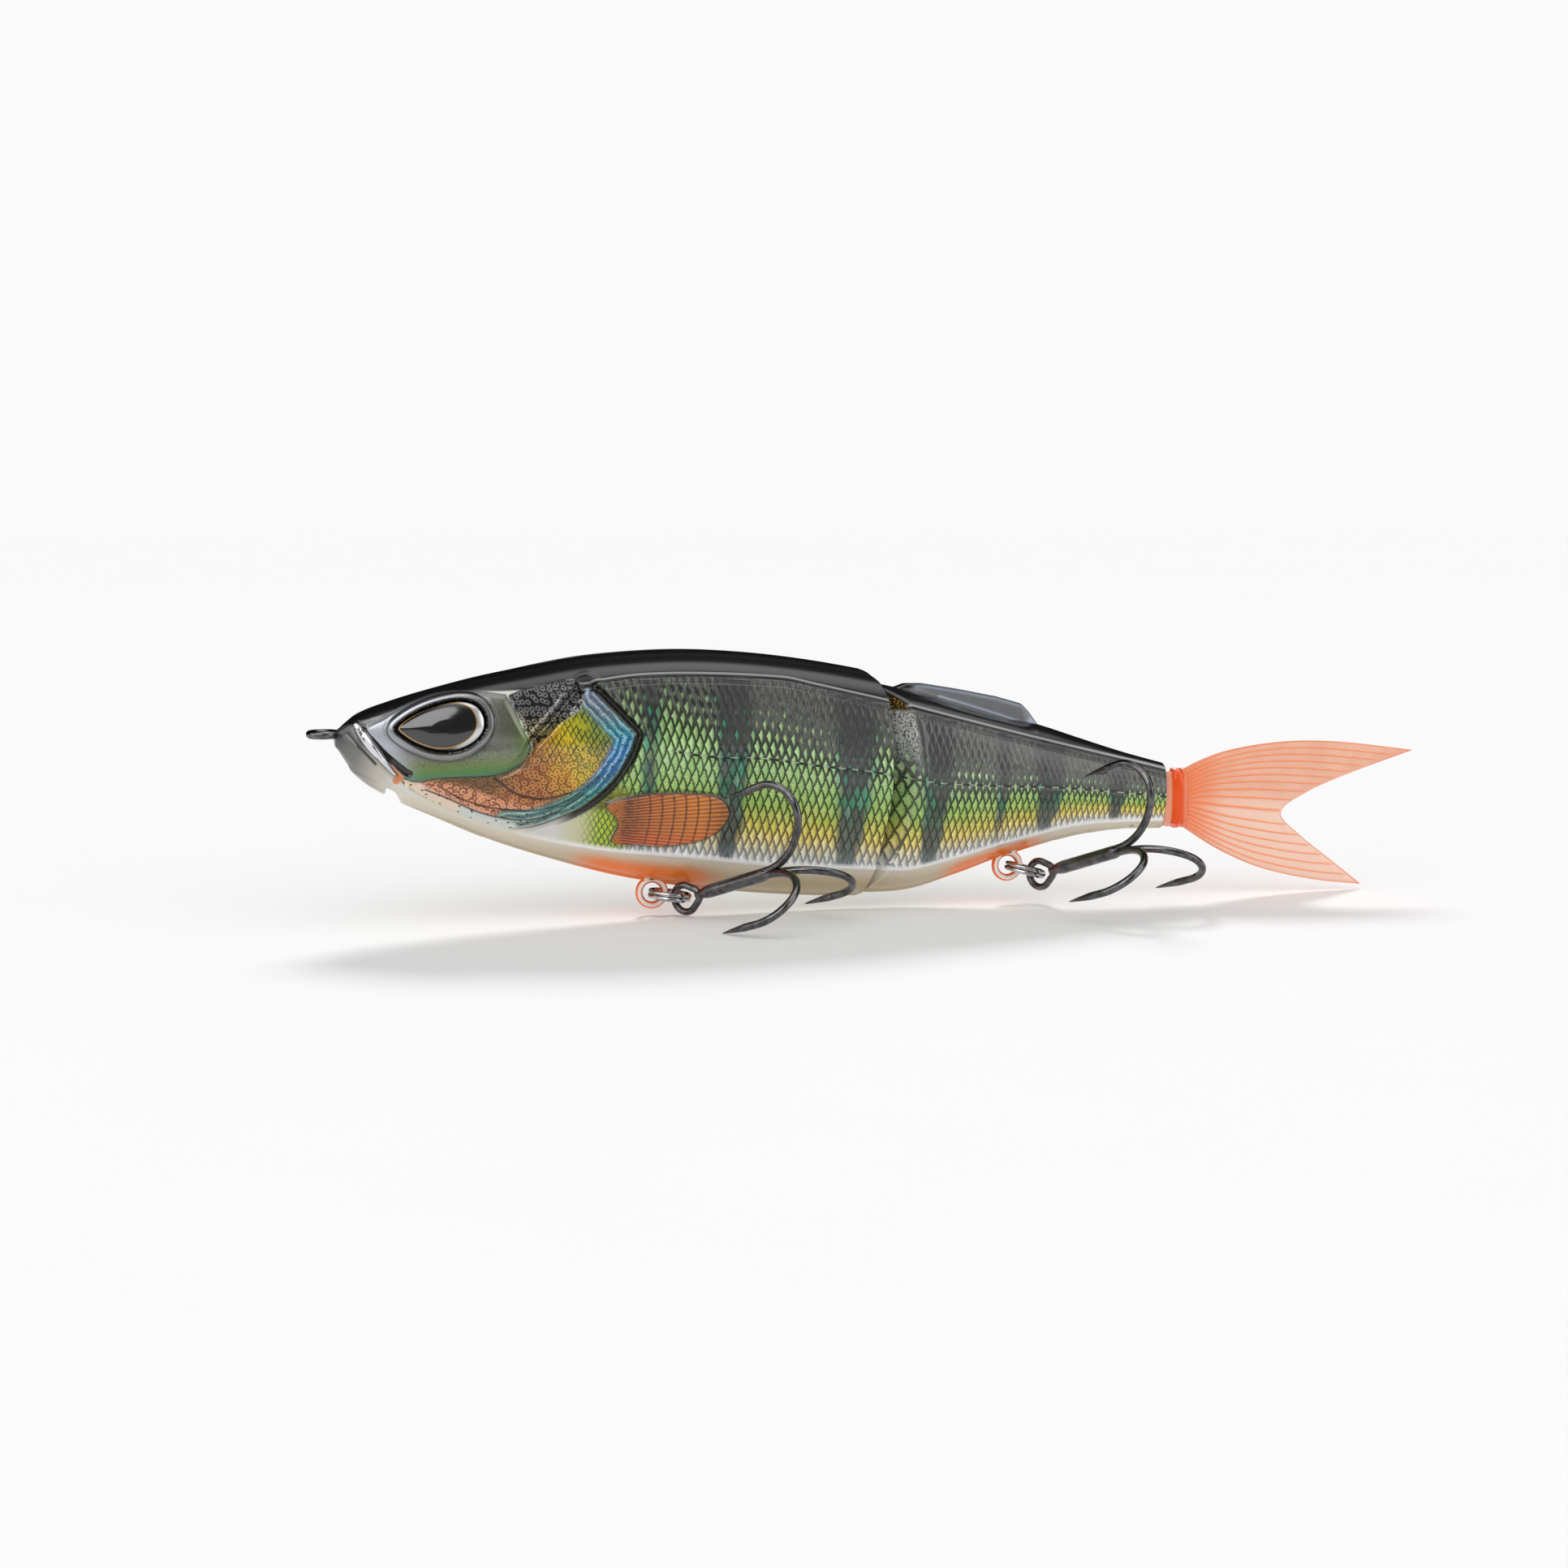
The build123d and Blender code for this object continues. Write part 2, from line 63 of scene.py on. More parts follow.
SECTION_SHAPE = [(0.0, 0.0), (.42, .02), (.86, .10), (1.0, .38), (.94, .56), (.70, .75),
                 (.53, .87), (.24, .975), (0.0, 1.0)]
NOSE_X = 2.0
NOSE_ROUND = .45                # how far the nose's tip is ahead of that
NOSE_Z = -.8
HINGE_X = 87.5
HINGE_RANGE = 24                # degrees each way
HINGE_SPARE = 1.5               # degrees left open between the sections at the end of the range
KNUCKLE_R = 3.9                 # round nose of the rear section, about the hinge
GROOVE_R = 4.3                  # round groove of the front section that it turns in
REAR_SHOULDER_X = 91.5          # where the rear section's bevel meets its flank
REAR_END_X = 134.8
RIDGE_END = (84.4, 8.3, .45)    # x and z of the front ridge's rear end, and its slant

# ---- painted and moulded lines, points (x, z)
TOP_CREASE = [(2, 1.0), (8, 3.0), (17, 6.2), (27, 6.6), (38.2, 7.3), (46.3, 8.2), (56, 8.3),
              (69.1, 7.5), (73.8, 6.5), (87.7, 3.3), (91.3, 2.3), (109.9, -2.5), (134.8, -8.7)]
LOW_CREASE = [(2, -4.5), (8, -7.2), (18, -11.4), (27.9, -14.9), (41.2, -17.7), (55.7, -19.4),
              (68.9, -21), (85.3, -22.1), (91.1, -22.3), (106.5, -18.9), (119.6, -16.4),
              (134.8, -16.2)]
LATERAL_LINE = [(40, .4), (46.1, -1.3), (53.7, -3.2), (59.2, -3.9), (65.6, -4.2), (73.4, -5.4),
                (83.1, -6.7), (91.5, -8.4), (99.7, -9.3), (115.9, -10.4), (134.8, -12.6)]
GILL_REAR = [(27, -14.4), (30.6, -14.1), (34.3, -12.8), (37.9, -11), (41.6, -7.8), (44.4, -3.6),
             (45.7, -.1)]
GILL_TOP = [(45.7, -.1), (39.9, 6.0), (38.3, 6.9), (37.0, 5.6)]
GILL_FRONT = [(37.0, 5.6), (34.2, 2.2), (30.5, -1.6), (29.6, -3.0)]
CHEEK_LOWER = [(29.6, -3.0), (28.1, -4.8), (24.5, -6.2), (17.2, -6.6), (13.4, -7.2), (10.7, -6.4)]
JAW_LOWER = [(10.7, -6.4), (13.5, -8.7), (18, -11.1), (22.5, -13.2), (27, -14.4)]
TEMPLE = [(26.9, 5.9), (32.5, 7.5), (37.4, 8.0), (37.9, 4.0), (34.2, 1.6), (30.5, -1.6), (28.6, 2.2)]
CHEEK_REAR = [(26.4, 6.0), (28.2, 2.2), (29.9, -1.4), (29.6, -3.0)]
CHEEK_TOP = [(10.7, -6.4), (7.6, -3.2), (5.7, .9), (8.5, 2.9), (14, 5.6), (20, 6.7), (26.4, 6.0)]
PECTORAL = [(41.4, -10.7), (47, -9.3), (53.3, -9.2), (58.5, -9.9), (60.6, -12.4), (59.3, -15.2),
            (56.4, -16.9), (51.2, -17.7), (46.9, -17.4), (42.6, -16.9), (43.4, -13.7)]
MOUTH_LINE = [(5.6, .9), (8.3, -2.3), (11.3, -5.0), (12.2, -5.6)]
MAXILLA = [(4.5, 1.6), (6.0, -.6), (8.0, -3.3), (10.1, -5.9)]
LIP_LINE = [(3.4, .2), (5.2, -2.0), (7.3, -4.4)]
JAW_GROOVE = [(16.5, -7.6), (20, -9.7), (25, -11.2), (31, -11.4), (36, -9.6), (40, -6.2)]
JAW_SEAM = [(14.6, -8.2), (18, -9.6), (23, -11.9), (28, -12.9), (33, -12.1), (38, -9.0)]
CHEEK_FOLD = [(24.8, -6.6), (27.5, -8.6), (31.5, -9.6), (36.0, -8.8)]
COVER_LOWER = [(13, -6.7), (20, -7.6), (27, -10.0), (33, -10.4), (38, -7.5), (42, -2)]
LIP_CORNER = [(8.6, -3.3), (9.9, -4.8), (10.9, -6.2), (10.4, -6.9)]
FIN_SCOOP = [(95, 3.6), (102, 1.9), (108, .2), (111.5, -1.6)]
BELLY_PATCHES = [(48.5, 13.5), (105.5, 10.5)]      # x and half length of the orange patches

# ---- eyes
EYE_CENTRE = (18.4, 1.5)
EYE_ALMOND = [(-8.5, -.2), (-7.3, 1.05), (-4.6, 2.55), (-1.5, 3.55), (1.5, 3.85), (3.8, 3.05), (4.95, 1.1),
              (4.75, -.9), (3.3, -2.6), (.8, -3.75), (-2.1, -3.85), (-5.0, -2.95), (-7.3, -1.55)]
EYE_TURN = 10.5                  # degrees about the vertical
EYE_TILT = 9                     # degrees about the lure's length
EYE_PLANE_Y = 8.3
PUPIL_SHARE = np.array([.85, .86])    # of the eye's length and height
PUPIL_SHIFT = np.array([-.62, .10])   # forward and up
EYE_POCKET = 1.55                # how deep the pocket is below the eye's plane
EYE_RIM_HEIGHT = .38             # and how high its rim is above it

# ---- pattern
SCALE_PITCH = (1.28, 3.5)        # column and row
SCALE_BOW = .06                  # how far a scale's edges bow towards the tail
SCALE_SHRINK = .72               # how much smaller the scales are at the tail
BARS = [(47.8, 1.3, .6), (60.8, 2.0, 1), (80.2, 2.3, 1), (93.9, 1.9, .95), (105.2, 1.1, .6),
        (113.6, 1.8, 1), (126.0, 1.3, .9)]      # x, half width, strength of each dark bar
LIME_ONSET = [(40, .20), (50, .12), (58, .24), (68, .31), (76, .36), (82, .34), (86, .30),
              (92, .40), (100, .46), (112, .46), (124, .50), (135, .46)]


# ---------------------------------------------------------------- curves and distances
def along(points, x):
    """Height or width at each x on a smooth line through the points."""
    table = np.array(points, float)
    at, value = table[:, 0], table[:, 1]
    slope = np.empty_like(value)
    slope[0] = (value[1] - value[0]) / (at[1] - at[0])
    slope[-1] = (value[-1] - value[-2]) / (at[-1] - at[-2])
    slope[1:-1] = (value[2:] - value[:-2]) / (at[2:] - at[:-2])
    i = np.clip(np.searchsorted(at, x, side="right") - 1, 0, len(at) - 2)
    span = at[i + 1] - at[i]
    t = (x - at[i]) / span
    linear = value[i] + slope[i] * (x - at[i])
    curve = ((2 * t ** 3 - 3 * t ** 2 + 1) * value[i] + (t ** 3 - 2 * t ** 2 + t) * span * slope[i]
             + (3 * t ** 2 - 2 * t ** 3) * value[i + 1] + (t ** 3 - t ** 2) * span * slope[i + 1])
    return np.where(t < 0, linear, np.where(t > 1, value[-1] + slope[-1] * (x - at[-1]), curve))


def smooth_line(points, steps=8, closed=False):
    """Many points on a smooth curve through a few."""
    p = np.array(points, float)
    p = np.vstack([p[-1:], p, p[:2]]) if closed else np.vstack([2 * p[0] - p[1], p, 2 * p[-1] - p[-2]])
    t = np.linspace(0, 1, steps, endpoint=False)[:, None]
    runs = []
    for a, b, c, d in zip(p[:-3], p[1:-2], p[2:-1], p[3:]):
        runs.append(.5 * (2 * b + (c - a) * t + (2 * a - 5 * b + 4 * c - d) * t ** 2
                          + (3 * b - a - 3 * c + d) * t ** 3))
    return np.vstack(runs + ([] if closed else [p[-2:-1]]))


def line_distance(x, z, line):
    """Distance to an open line, the share of its length at the nearest point, and the side (+1 left)."""
    best = np.full(x.shape, 1e9)
    share, side = np.zeros(x.shape), np.ones(x.shape)
    before = run_of(line)
    steps = np.diff(before)
    for (ax, az), (bx, bz), start, length in zip(line[:-1], line[1:], before, steps):
        dx, dz = bx - ax, bz - az
        t = np.clip(((x - ax) * dx + (z - az) * dz) / (length ** 2 + 1e-12), 0, 1)
        d = np.hypot(x - ax - t * dx, z - az - t * dz)
        near = d < best
        best = np.where(near, d, best)
        share = np.where(near, (start + t * length) / before[-1], share)
        side = np.where(near, np.sign(dx * (z - az) - dz * (x - ax)), side)
    return best, share, side


def off_line(x, z, points, steps=8):
    """Distance to the smooth line through a few points."""
    return line_distance(x, z, smooth_line(points, steps))[0]


def inside_distance(x, z, outline):
    """Distance to a closed outline, positive inside it."""
    ring = np.vstack([outline, outline[:1]])
    distance, _, _ = line_distance(x, z, ring)
    odd = np.zeros(x.shape, bool)
    for (ax, az), (bx, bz) in zip(ring[:-1], ring[1:]):
        if az != bz:
            odd ^= ((az > z) != (bz > z)) & (x < (bx - ax) * (z - az) / (bz - az) + ax)
    return np.where(odd, distance, -distance)


def chain(*lines):
    """A closed outline from smooth lines that meet at corners."""
    return np.vstack([smooth_line(line)[:-1] for line in lines])


def turned(degrees, axis):
    return Matrix.Rotation(math.radians(degrees), 4, axis)


def placed(points, where):
    """Points moved by a matrix."""
    m = np.array(where)
    return points @ m[:3, :3].T + m[:3, 3]


def run_of(line):
    """Length along a line up to each of its points."""
    return np.concatenate([[0], np.cumsum(np.linalg.norm(np.diff(line, axis=0), axis=1))])


def step(low, high, value):
    """From 0 at low to 1 at high, smoothly."""
    t = np.clip((value - low) / (high - low), 0, 1)
    return t * t * (3 - 2 * t)


def bump(value, width):
    """A bell curve of height 1."""
    return np.exp(-(value / width) ** 2)


# ---------------------------------------------------------------- meshes
def enclosed_volume(mesh):
    """Volume inside the mesh, negative if its faces look inward."""
    mesh.calc_loop_triangles()
    corners = np.empty(len(mesh.loop_triangles) * 3, np.int32)
    mesh.loop_triangles.foreach_get("vertices", corners)
    co = np.empty(len(mesh.vertices) * 3)
    mesh.vertices.foreach_get("co", co)
    a, b, c = (co.reshape(-1, 3)[corners.reshape(-1, 3)[:, k]] for k in range(3))
    return float(np.einsum("ij,ij->i", a, np.cross(b, c)).sum()) / 6


def mesh_piece(name, points, faces, body, material, values=None, sharp=50):
    """A mesh object from points in millimetres, with its values as attributes, on its body."""
    mesh = bpy.data.meshes.new(name)
    mesh.from_pydata((np.asarray(points, float) * MM).tolist(), [], faces)
    mesh.validate()
    if enclosed_volume(mesh) < 0:
        mesh.flip_normals()
    for key, value in (values or {}).items():
        layer = mesh.attributes.new(key, "FLOAT", "POINT")
        layer.data.foreach_set("value", np.ascontiguousarray(value, np.float32).ravel())
    mesh.shade_smooth()
    mesh.set_sharp_from_angle(angle=math.radians(sharp))
    mesh.materials.append(material)
    piece = bpy.data.objects.new(name, mesh)
    bpy.context.scene.collection.objects.link(piece)
    if body:
        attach(piece, body)
    return piece


def grid_faces(rows, columns, first=0, flip=False, wrap=False):
    """Quads of a grid of points, rows after one another."""
    i = np.arange(rows - 1)[:, None] * columns
    j = np.arange(columns if wrap else columns - 1)[None, :]
    k = (j + 1) % columns
    quads = np.stack(np.broadcast_arrays(i + j, i + k, i + columns + k, i + columns + j), -1) + first
    quads = quads.reshape(-1, 4)
    return (quads[:, ::-1] if flip else quads).tolist()


def sweep(path, radius, sides=16, closed=False):
    """Points and faces of a round bar along a path; radius is one number or one for each point."""
    path = np.asarray(path, float)
    n = len(path)
    radius = np.broadcast_to(np.asarray(radius, float), (n,))
    if closed:
        tangent = np.roll(path, -1, 0) - np.roll(path, 1, 0)
    else:
        tangent = np.gradient(path, axis=0)
    tangent /= np.linalg.norm(tangent, axis=1)[:, None]
    normal = np.cross(tangent[0], [0, 0, 1.0])
    if np.linalg.norm(normal) < .2:
        normal = np.cross(tangent[0], [0, 1.0, 0])
    normal /= np.linalg.norm(normal)
    turn = np.linspace(0, 2 * math.pi, sides, endpoint=False)
    points = []
    for k in range(n):
        normal = normal - tangent[k] * np.dot(normal, tangent[k])
        normal /= np.linalg.norm(normal)
        other = np.cross(tangent[k], normal)
        points.append(path[k] + radius[k] * (np.cos(turn)[:, None] * normal + np.sin(turn)[:, None] * other))
    points = np.vstack(points)
    faces = grid_faces(n, sides, wrap=True)
    if closed:
        last = (n - 1) * sides
        faces += [[last + j, last + (j + 1) % sides, (j + 1) % sides, j] for j in range(sides)]
    else:
        faces += [list(range(sides))[::-1], list(range((n - 1) * sides, n * sides))]
    return points, faces


def joined(parts):
    """Several (points, faces) as one."""
    points, faces, first = [], [], 0
    for p, f in parts:
        points.append(p)
        faces += [[v + first for v in face] for face in f]
        first += len(p)
    return np.vstack(points), faces


# ---------------------------------------------------------------- materials: a small language for nodes
tree = None


def paint(red, green, blue):
    """A linear colour from display values of 0 to 255."""
    def linear(v):
        v /= 255
        return v / 12.92 if v <= .04045 else ((v + .055) / 1.055) ** 2.4
    return (linear(red), linear(green), linear(blue), 1)


class Field:
    """A value that varies over the surface: the output of a node."""

    def __init__(self, socket):
        self.socket = socket

    def __add__(self, other): return maths("ADD", self, other)
    def __radd__(self, other): return maths("ADD", other, self)
    def __sub__(self, other): return maths("SUBTRACT", self, other)
    def __rsub__(self, other): return maths("SUBTRACT", other, self)
    def __mul__(self, other): return maths("MULTIPLY", self, other)
    def __rmul__(self, other): return maths("MULTIPLY", other, self)
    def __truediv__(self, other): return maths("DIVIDE", self, other)
    def __neg__(self): return maths("MULTIPLY", self, -1.0)
    def __abs__(self): return maths("ABSOLUTE", self)

    def lay(self, colour, share):
        """Covers this colour with a share of another."""
        self.socket = mixed(self, colour, share).socket


def feed(socket, value):
    """Links a Field, or sets a constant; three numbers are a colour."""
    if isinstance(value, Field):
        tree.links.new(value.socket, socket)
    else:
        socket.default_value = paint(*value) if isinstance(value, tuple) else value


def node(kind, output, inputs, **settings):
    """An output of a new node, with its inputs fed by name or number."""
    made = tree.nodes.new("ShaderNode" + kind)
    for name, value in settings.items():
        setattr(made, name, value)
    for name, value in inputs.items():
        feed(made.inputs[name], value)
    return Field(made.outputs[output])


def maths(operation, *values):
    return node("Math", 0, dict(enumerate(values)), operation=operation)


def held(value):
    """Kept between 0 and 1."""
    return node("Math", 0, {0: value, 1: 0.0}, operation="ADD", use_clamp=True)


def sine(value): return maths("SINE", value)
def larger(a, b): return maths("MAXIMUM", a, b)
def nearest(value): return maths("ROUND", value)


def rise(low, high, value):
    """From 0 at low to 1 at high, smoothly."""
    inputs = {"Value": value, "From Min": low, "From Max": high, "To Min": 0.0, "To Max": 1.0}
    return node("MapRange", "Result", inputs, interpolation_type="SMOOTHSTEP")


def band(value, centre, half, soft):
    """1 within half of the centre, fading to 0 over soft."""
    return rise(half + soft, half, abs(value - centre))


def mixed(first, second, share):
    """Two colours, each a Field or display values of 0 to 255."""
    return node("Mix", 2, {0: share, 6: first, 7: second}, data_type="RGBA")


def graded(value, *stops):
    """A colour ramp, stops of (place, red, green, blue)."""
    ramp = tree.nodes.new("ShaderNodeValToRGB")
    elements = ramp.color_ramp.elements
    for at, *colour in stops[1:-1]:
        elements.new(at).color = paint(*colour)
    for element, (at, *colour) in ((elements[0], stops[0]), (elements[-1], stops[-1])):
        element.position, element.color = at, paint(*colour)
    feed(ramp.inputs[0], value)
    return Field(ramp.outputs[0])


def given(name):
    """A value stored on the mesh."""
    return node("Attribute", "Fac", {}, attribute_name=name)


def place():
    """Object coordinates in millimetres."""
    where = node("TexCoord", "Object", {})
    return node("VectorMath", 0, {0: where, "Scale": 1 / MM}, operation="SCALE")


def parts_of(vector):
    first = node("SeparateXYZ", 0, {0: vector})
    return [Field(output) for output in first.socket.node.outputs]


def vector_of(x, y):
    return node("CombineXYZ", 0, {0: x, 1: y})


def noise(vector, scale, detail=2.0, rough=.5):
    return node("TexNoise", "Fac", {"Vector": vector, "Scale": scale, "Detail": detail, "Roughness": rough})


def cells(across, up, scale, random=1.0):
    """Distance on the flank to the nearest of many scattered points."""
    inputs = {"Vector": vector_of(across, up), "Scale": scale, "Randomness": random}
    return node("TexVoronoi", "Distance", inputs, voronoi_dimensions="2D")


def lottery(vector):
    """A random number for each different vector."""
    return node("TexWhiteNoise", "Value", {"Vector": vector})


def material(name):
    """A new material whose tree the functions above then add to; returns it and its shader."""
    global tree
    made = bpy.data.materials.new(name)
    made.use_nodes = True
    tree = made.node_tree
    return made, tree.nodes["Principled BSDF"]


def dress(shader, **looks):
    """Sets the shader's inputs: coat_roughness is its Coat Roughness, and a number stays a plain value."""
    names = {name.lower().replace(" ", "_"): name for name in shader.inputs.keys()}
    for name, value in looks.items():
        feed(shader.inputs[names[name]], value)


def mixed_output(share, first, second):
    """Ends the material in a mix of two shaders."""
    mix = tree.nodes.new("ShaderNodeMixShader")
    feed(mix.inputs[0], share)
    tree.links.new(first.outputs[0], mix.inputs[1])
    tree.links.new(second.outputs[0], mix.inputs[2])
    tree.links.new(mix.outputs[0], tree.nodes["Material Output"].inputs["Surface"])


def set_bump(shader, height, strength, distance):
    feed(shader.inputs["Normal"],
         node("Bump", 0, {"Strength": strength, "Distance": distance * MM, "Height": height}))


# ---------------------------------------------------------------- paint of the body
def scale_fields(a, b):
    """Edge distance, place within a scale and its own random number, for lattice values a and b."""
    a = a - SCALE_BOW * abs(sine(b * (2 * math.pi)))
    p, q = a + b, a - b
    cell_p, cell_q = nearest(p), nearest(q)
    fu, fv = p - cell_p, q - cell_q
    edge = .5 - larger(abs(fu), abs(fv))
    return edge, (fu + fv) * .5, (fu - fv) * .5, lottery(vector_of(cell_p, cell_q))


def flank_colour(where, x, z):
    """Perch scales: lime and yellow with dark outlines, teal ones in the dark bars, each scale with painted
    shade on one side and a painted highlight on the other.

    Returns the colour, and how far the dark print of the back reaches down.
    """
    share, tone, bar = given("share"), given("tone"), given("bar")
    fine = noise(where, 3.0, 3, .6)
    coarse = noise(where, .35, 2, .5)
    sway = noise(where, 1.1, 2, .5)
    sway = sway - .5
    edge, lx, lz, luck = scale_fields(given("scale_a") + sway * .22, given("scale_b") + sway * .12)
    wobble = (fine - .5) * .16
    dark = rise(.22, -.34, tone - bar * .12 + (coarse - .5) * .2 + (luck - .5) * .10)
    width = .07 + dark * .41
    outline = rise(width + .07, width, edge + wobble)
    inner = rise(.06, .30, edge)
    lit = rise(.30, -.32, lx + (fine - .5) * .25)
    colour = graded(held(share + (luck - .5) * .05),
                    (.0, 96, 122, 56), (.34, 120, 170, 58), (.50, 152, 206, 96),
                    (.66, 152, 204, 66), (.76, 216, 208, 26), (.86, 222, 190, 60),
                    (.93, 190, 182, 144), (1.0, 204, 206, 210))
    pale = graded(share, (.0, 120, 142, 100), (.42, 206, 236, 188), (.66, 216, 244, 156),
                  (.82, 255, 244, 150), (1.0, 240, 240, 240))
    deep = graded(share, (.0, 62, 74, 44), (.5, 62, 100, 34), (.70, 84, 110, 20),
                  (.82, 146, 108, 6), (1.0, 128, 136, 160))
    # painted shade: the unlit side of each scale turns to the darker copy of its colour
    colour.lay(deep, rise(.1, .95, 1 - lit) * .5)
    # painted highlight: a paler core towards the lit side of each scale
    colour.lay(pale, rise(.42, -.30, lx + (fine - .5) * .25) * inner * (.5 + luck * .5))
    teal = graded(luck, (.0, 40, 52, 50), (.35, 54, 84, 76), (.62, 14, 104, 80),
                  (.85, 20, 138, 100), (1.0, 112, 152, 136))
    teal.lay((62, 70, 76), rise(.60, .80, share) * .85)
    reach = rise(.16, .62, bar + (coarse - .5) * .35 + (luck - .5) * .22 - rise(.78, 1.0, share) * .25)
    colour.lay(teal, reach * .92)
    spokes = sine(maths("ARCTAN2", lz * 2.3, lx + .78) * 30.0 + luck * 6.0)
    lash = rise(.1, .7, spokes) * band(lx + wobble, -.15, .13, .1) * rise(.04, .10, edge)
    lash = lash * rise(.36, .5, share) * rise(.86, .72, share)
    ink = graded(share, (.0, 50, 52, 46), (.5, 26, 34, 20), (.74, 46, 46, 16),
                 (.86, 86, 82, 64), (1.0, 134, 138, 150))
    ink.lay((26, 30, 32), reach * rise(1.0, .85, share))
    streak = noise(vector_of(x * 4.5, z * .8), 1.0, 2, .6)
    slate = mixed((98, 99, 96), (60, 61, 59), rise(.36, .66, streak))
    slant = lx * .8 + lz * .5
    drop = band(slant, .0, .05, .07) * rise(.30, .08, share) * rise(50.0, 70.0, x) * .5
    drop = drop + band(slant, .0, .09, .10) * rise(.42, .26, share) * rise(66.0, 56.0, x)
    slate.lay((34, 34, 34), drop)
    slate.lay((48, 49, 48), reach * .7)
    ink.lay(slate, rise(.15, .6, dark))
    colour.lay(mixed(colour, slate, .55), rise(.3, .9, dark))
    colour.lay(ink, held(larger(outline * .97, lash * .85)))
    freckle = rise(.58, .66, noise(where, 4.2, 3, .7)) * rise(.5, .1, bar) * rise(.9, .75, share)
    colour.lay((44, 52, 32), freckle * .5)
    return colour, dark


def head_colour(colour, where, x, z):
    """Silver head, bubble-textured gill cover with a blue rim, pink jaw.

    Returns the colour, and the temple's rings for their shine.
    """
    gill, temple, cheek = given("gill"), given("temple"), given("cheek")
    fine, soft = noise(where, 4.0, 3, .6), noise(where, .5, 2, .5)
    wet = fine - .5
    edge = scale_fields(given("scale_a") * 1.45 + (soft - .5) * .8, given("scale_b") * 2.2 + wet * .25)[0]
    # skin behind and under the gill cover
    yellow_patch = rise(47.5, 44.0, x + soft * 2) * rise(-7.0, -9.5, z + wet) * rise(.2, -.2, gill)
    yellow_patch = yellow_patch * rise(.02, -.12, given("fin"))
    patch = mixed((178, 190, 44), (58, 100, 46), rise(.20, .06, edge + wet * .1))
    hatch = noise(vector_of(x * .8, z * 5.0), 1.0, 2, .6)
    olive_hatch = mixed((134, 134, 26), (70, 78, 26), rise(.42, .6, hatch))
    patch.lay(olive_hatch, rise(-12.4, -11.0, z + wet))
    patch.lay((196, 194, 160), rise(41.0, 36.5, x + wet * 2.0))
    colour.lay(patch, yellow_patch)
    # gill cover
    bubbles = cells(x, z, 1.05, .75)
    ring = band(bubbles, .34, .07, .10)
    cover = graded(held((x - 26.0) * .05 + (z + 8.0) * .022 + (soft - .5) * .3),
                   (.0, 164, 94, 52), (.30, 150, 84, 30), (.46, 196, 142, 18),
                   (.62, 206, 186, 30), (.80, 150, 158, 42), (1.0, 72, 124, 96))
    cover.lay((96, 62, 30), rise(.30, .12, bubbles) * rise(-1.0, -4.0, z) * .55)
    cover.lay((226, 158, 96), ring * rise(.5, -4.0, z) * .4)
    cover.lay((60, 34, 18), band(bubbles, .56, .06, .06) * rise(1.0, -4.0, z) * .7)
    mesh = rise(.17, .05, edge + wet * .2) * rise(-6.0, -3.0, z + wet * 2.0) * rise(30.0, 33.0, x + wet * 2.0)
    mesh = mesh * rise(.30, .48, soft + wet * .3)
    cover.lay((30, 34, 22), mesh * .9)
    dim = rise(4.4, .8, x * .55 - z * .42 - 15.8 + soft * 1.5)
    cover.lay((66, 60, 28), dim * .7)
    jaw = graded(held((x - 11.0) / 34.0), (.0, 182, 112, 74), (.2, 204, 128, 84),
                 (.55, 200, 128, 86), (.8, 166, 120, 78), (1.0, 116, 130, 88))
    jaw.lay((234, 176, 138), ring * .55)
    jaw.lay((104, 56, 36), band(bubbles, .54, .07, .07) * .8)
    cover.lay(jaw, rise(.6, -.6, given("cover_line") + wet * .6))
    rim = given("rim")
    rim_colour = graded(held((z + 14.5) / 20.0), (.0, 142, 154, 132), (.14, 92, 138, 116),
                        (.26, 20, 128, 104), (.44, 26, 102, 156), (.62, 58, 134, 182),
                        (.74, 30, 140, 150), (.86, 92, 118, 118), (1.0, 112, 118, 128))
    lines = sine(rim * 6.0 + wet * 6.0 + soft * 5.0)
    rim_colour.lay((14, 50, 96), rise(.3, .95, lines) * .7)
    rim_colour.lay((186, 216, 230), rise(.55, .95, -lines) * .55)
    cover.lay(rim_colour, rise(3.4, 2.5, rim + wet * .8))
    under = mixed((220, 196, 176), (196, 202, 198), rise(-11.0, -12.8, z + (18.0 - x) * .42))
    cover.lay(under, rise(1.9, 1.0, given("jaw_edge") + wet * .5))
    pores = rise(.15, .10, cells(x * .62, z * .95, 1.0)) * rise(.5, -1.0, given("cover_line"))
    cover.lay((34, 22, 18), pores * .9)
    for name, width, strength in (("jaw_groove", .10, .75), ("jaw_seam", .09, .8), ("cheek_fold", .12, .8)):
        cover.lay((48, 30, 24), rise(width + .12, width, given(name) + wet * .12) * strength)
    colour.lay(cover, rise(-.06, .1, gill))
    # painted shade in the groove behind the gill cover
    behind = band(gill + wet * .25, -.62, .48, .35) * given("rear_side")
    colour.lay((20, 18, 16), behind * .96)
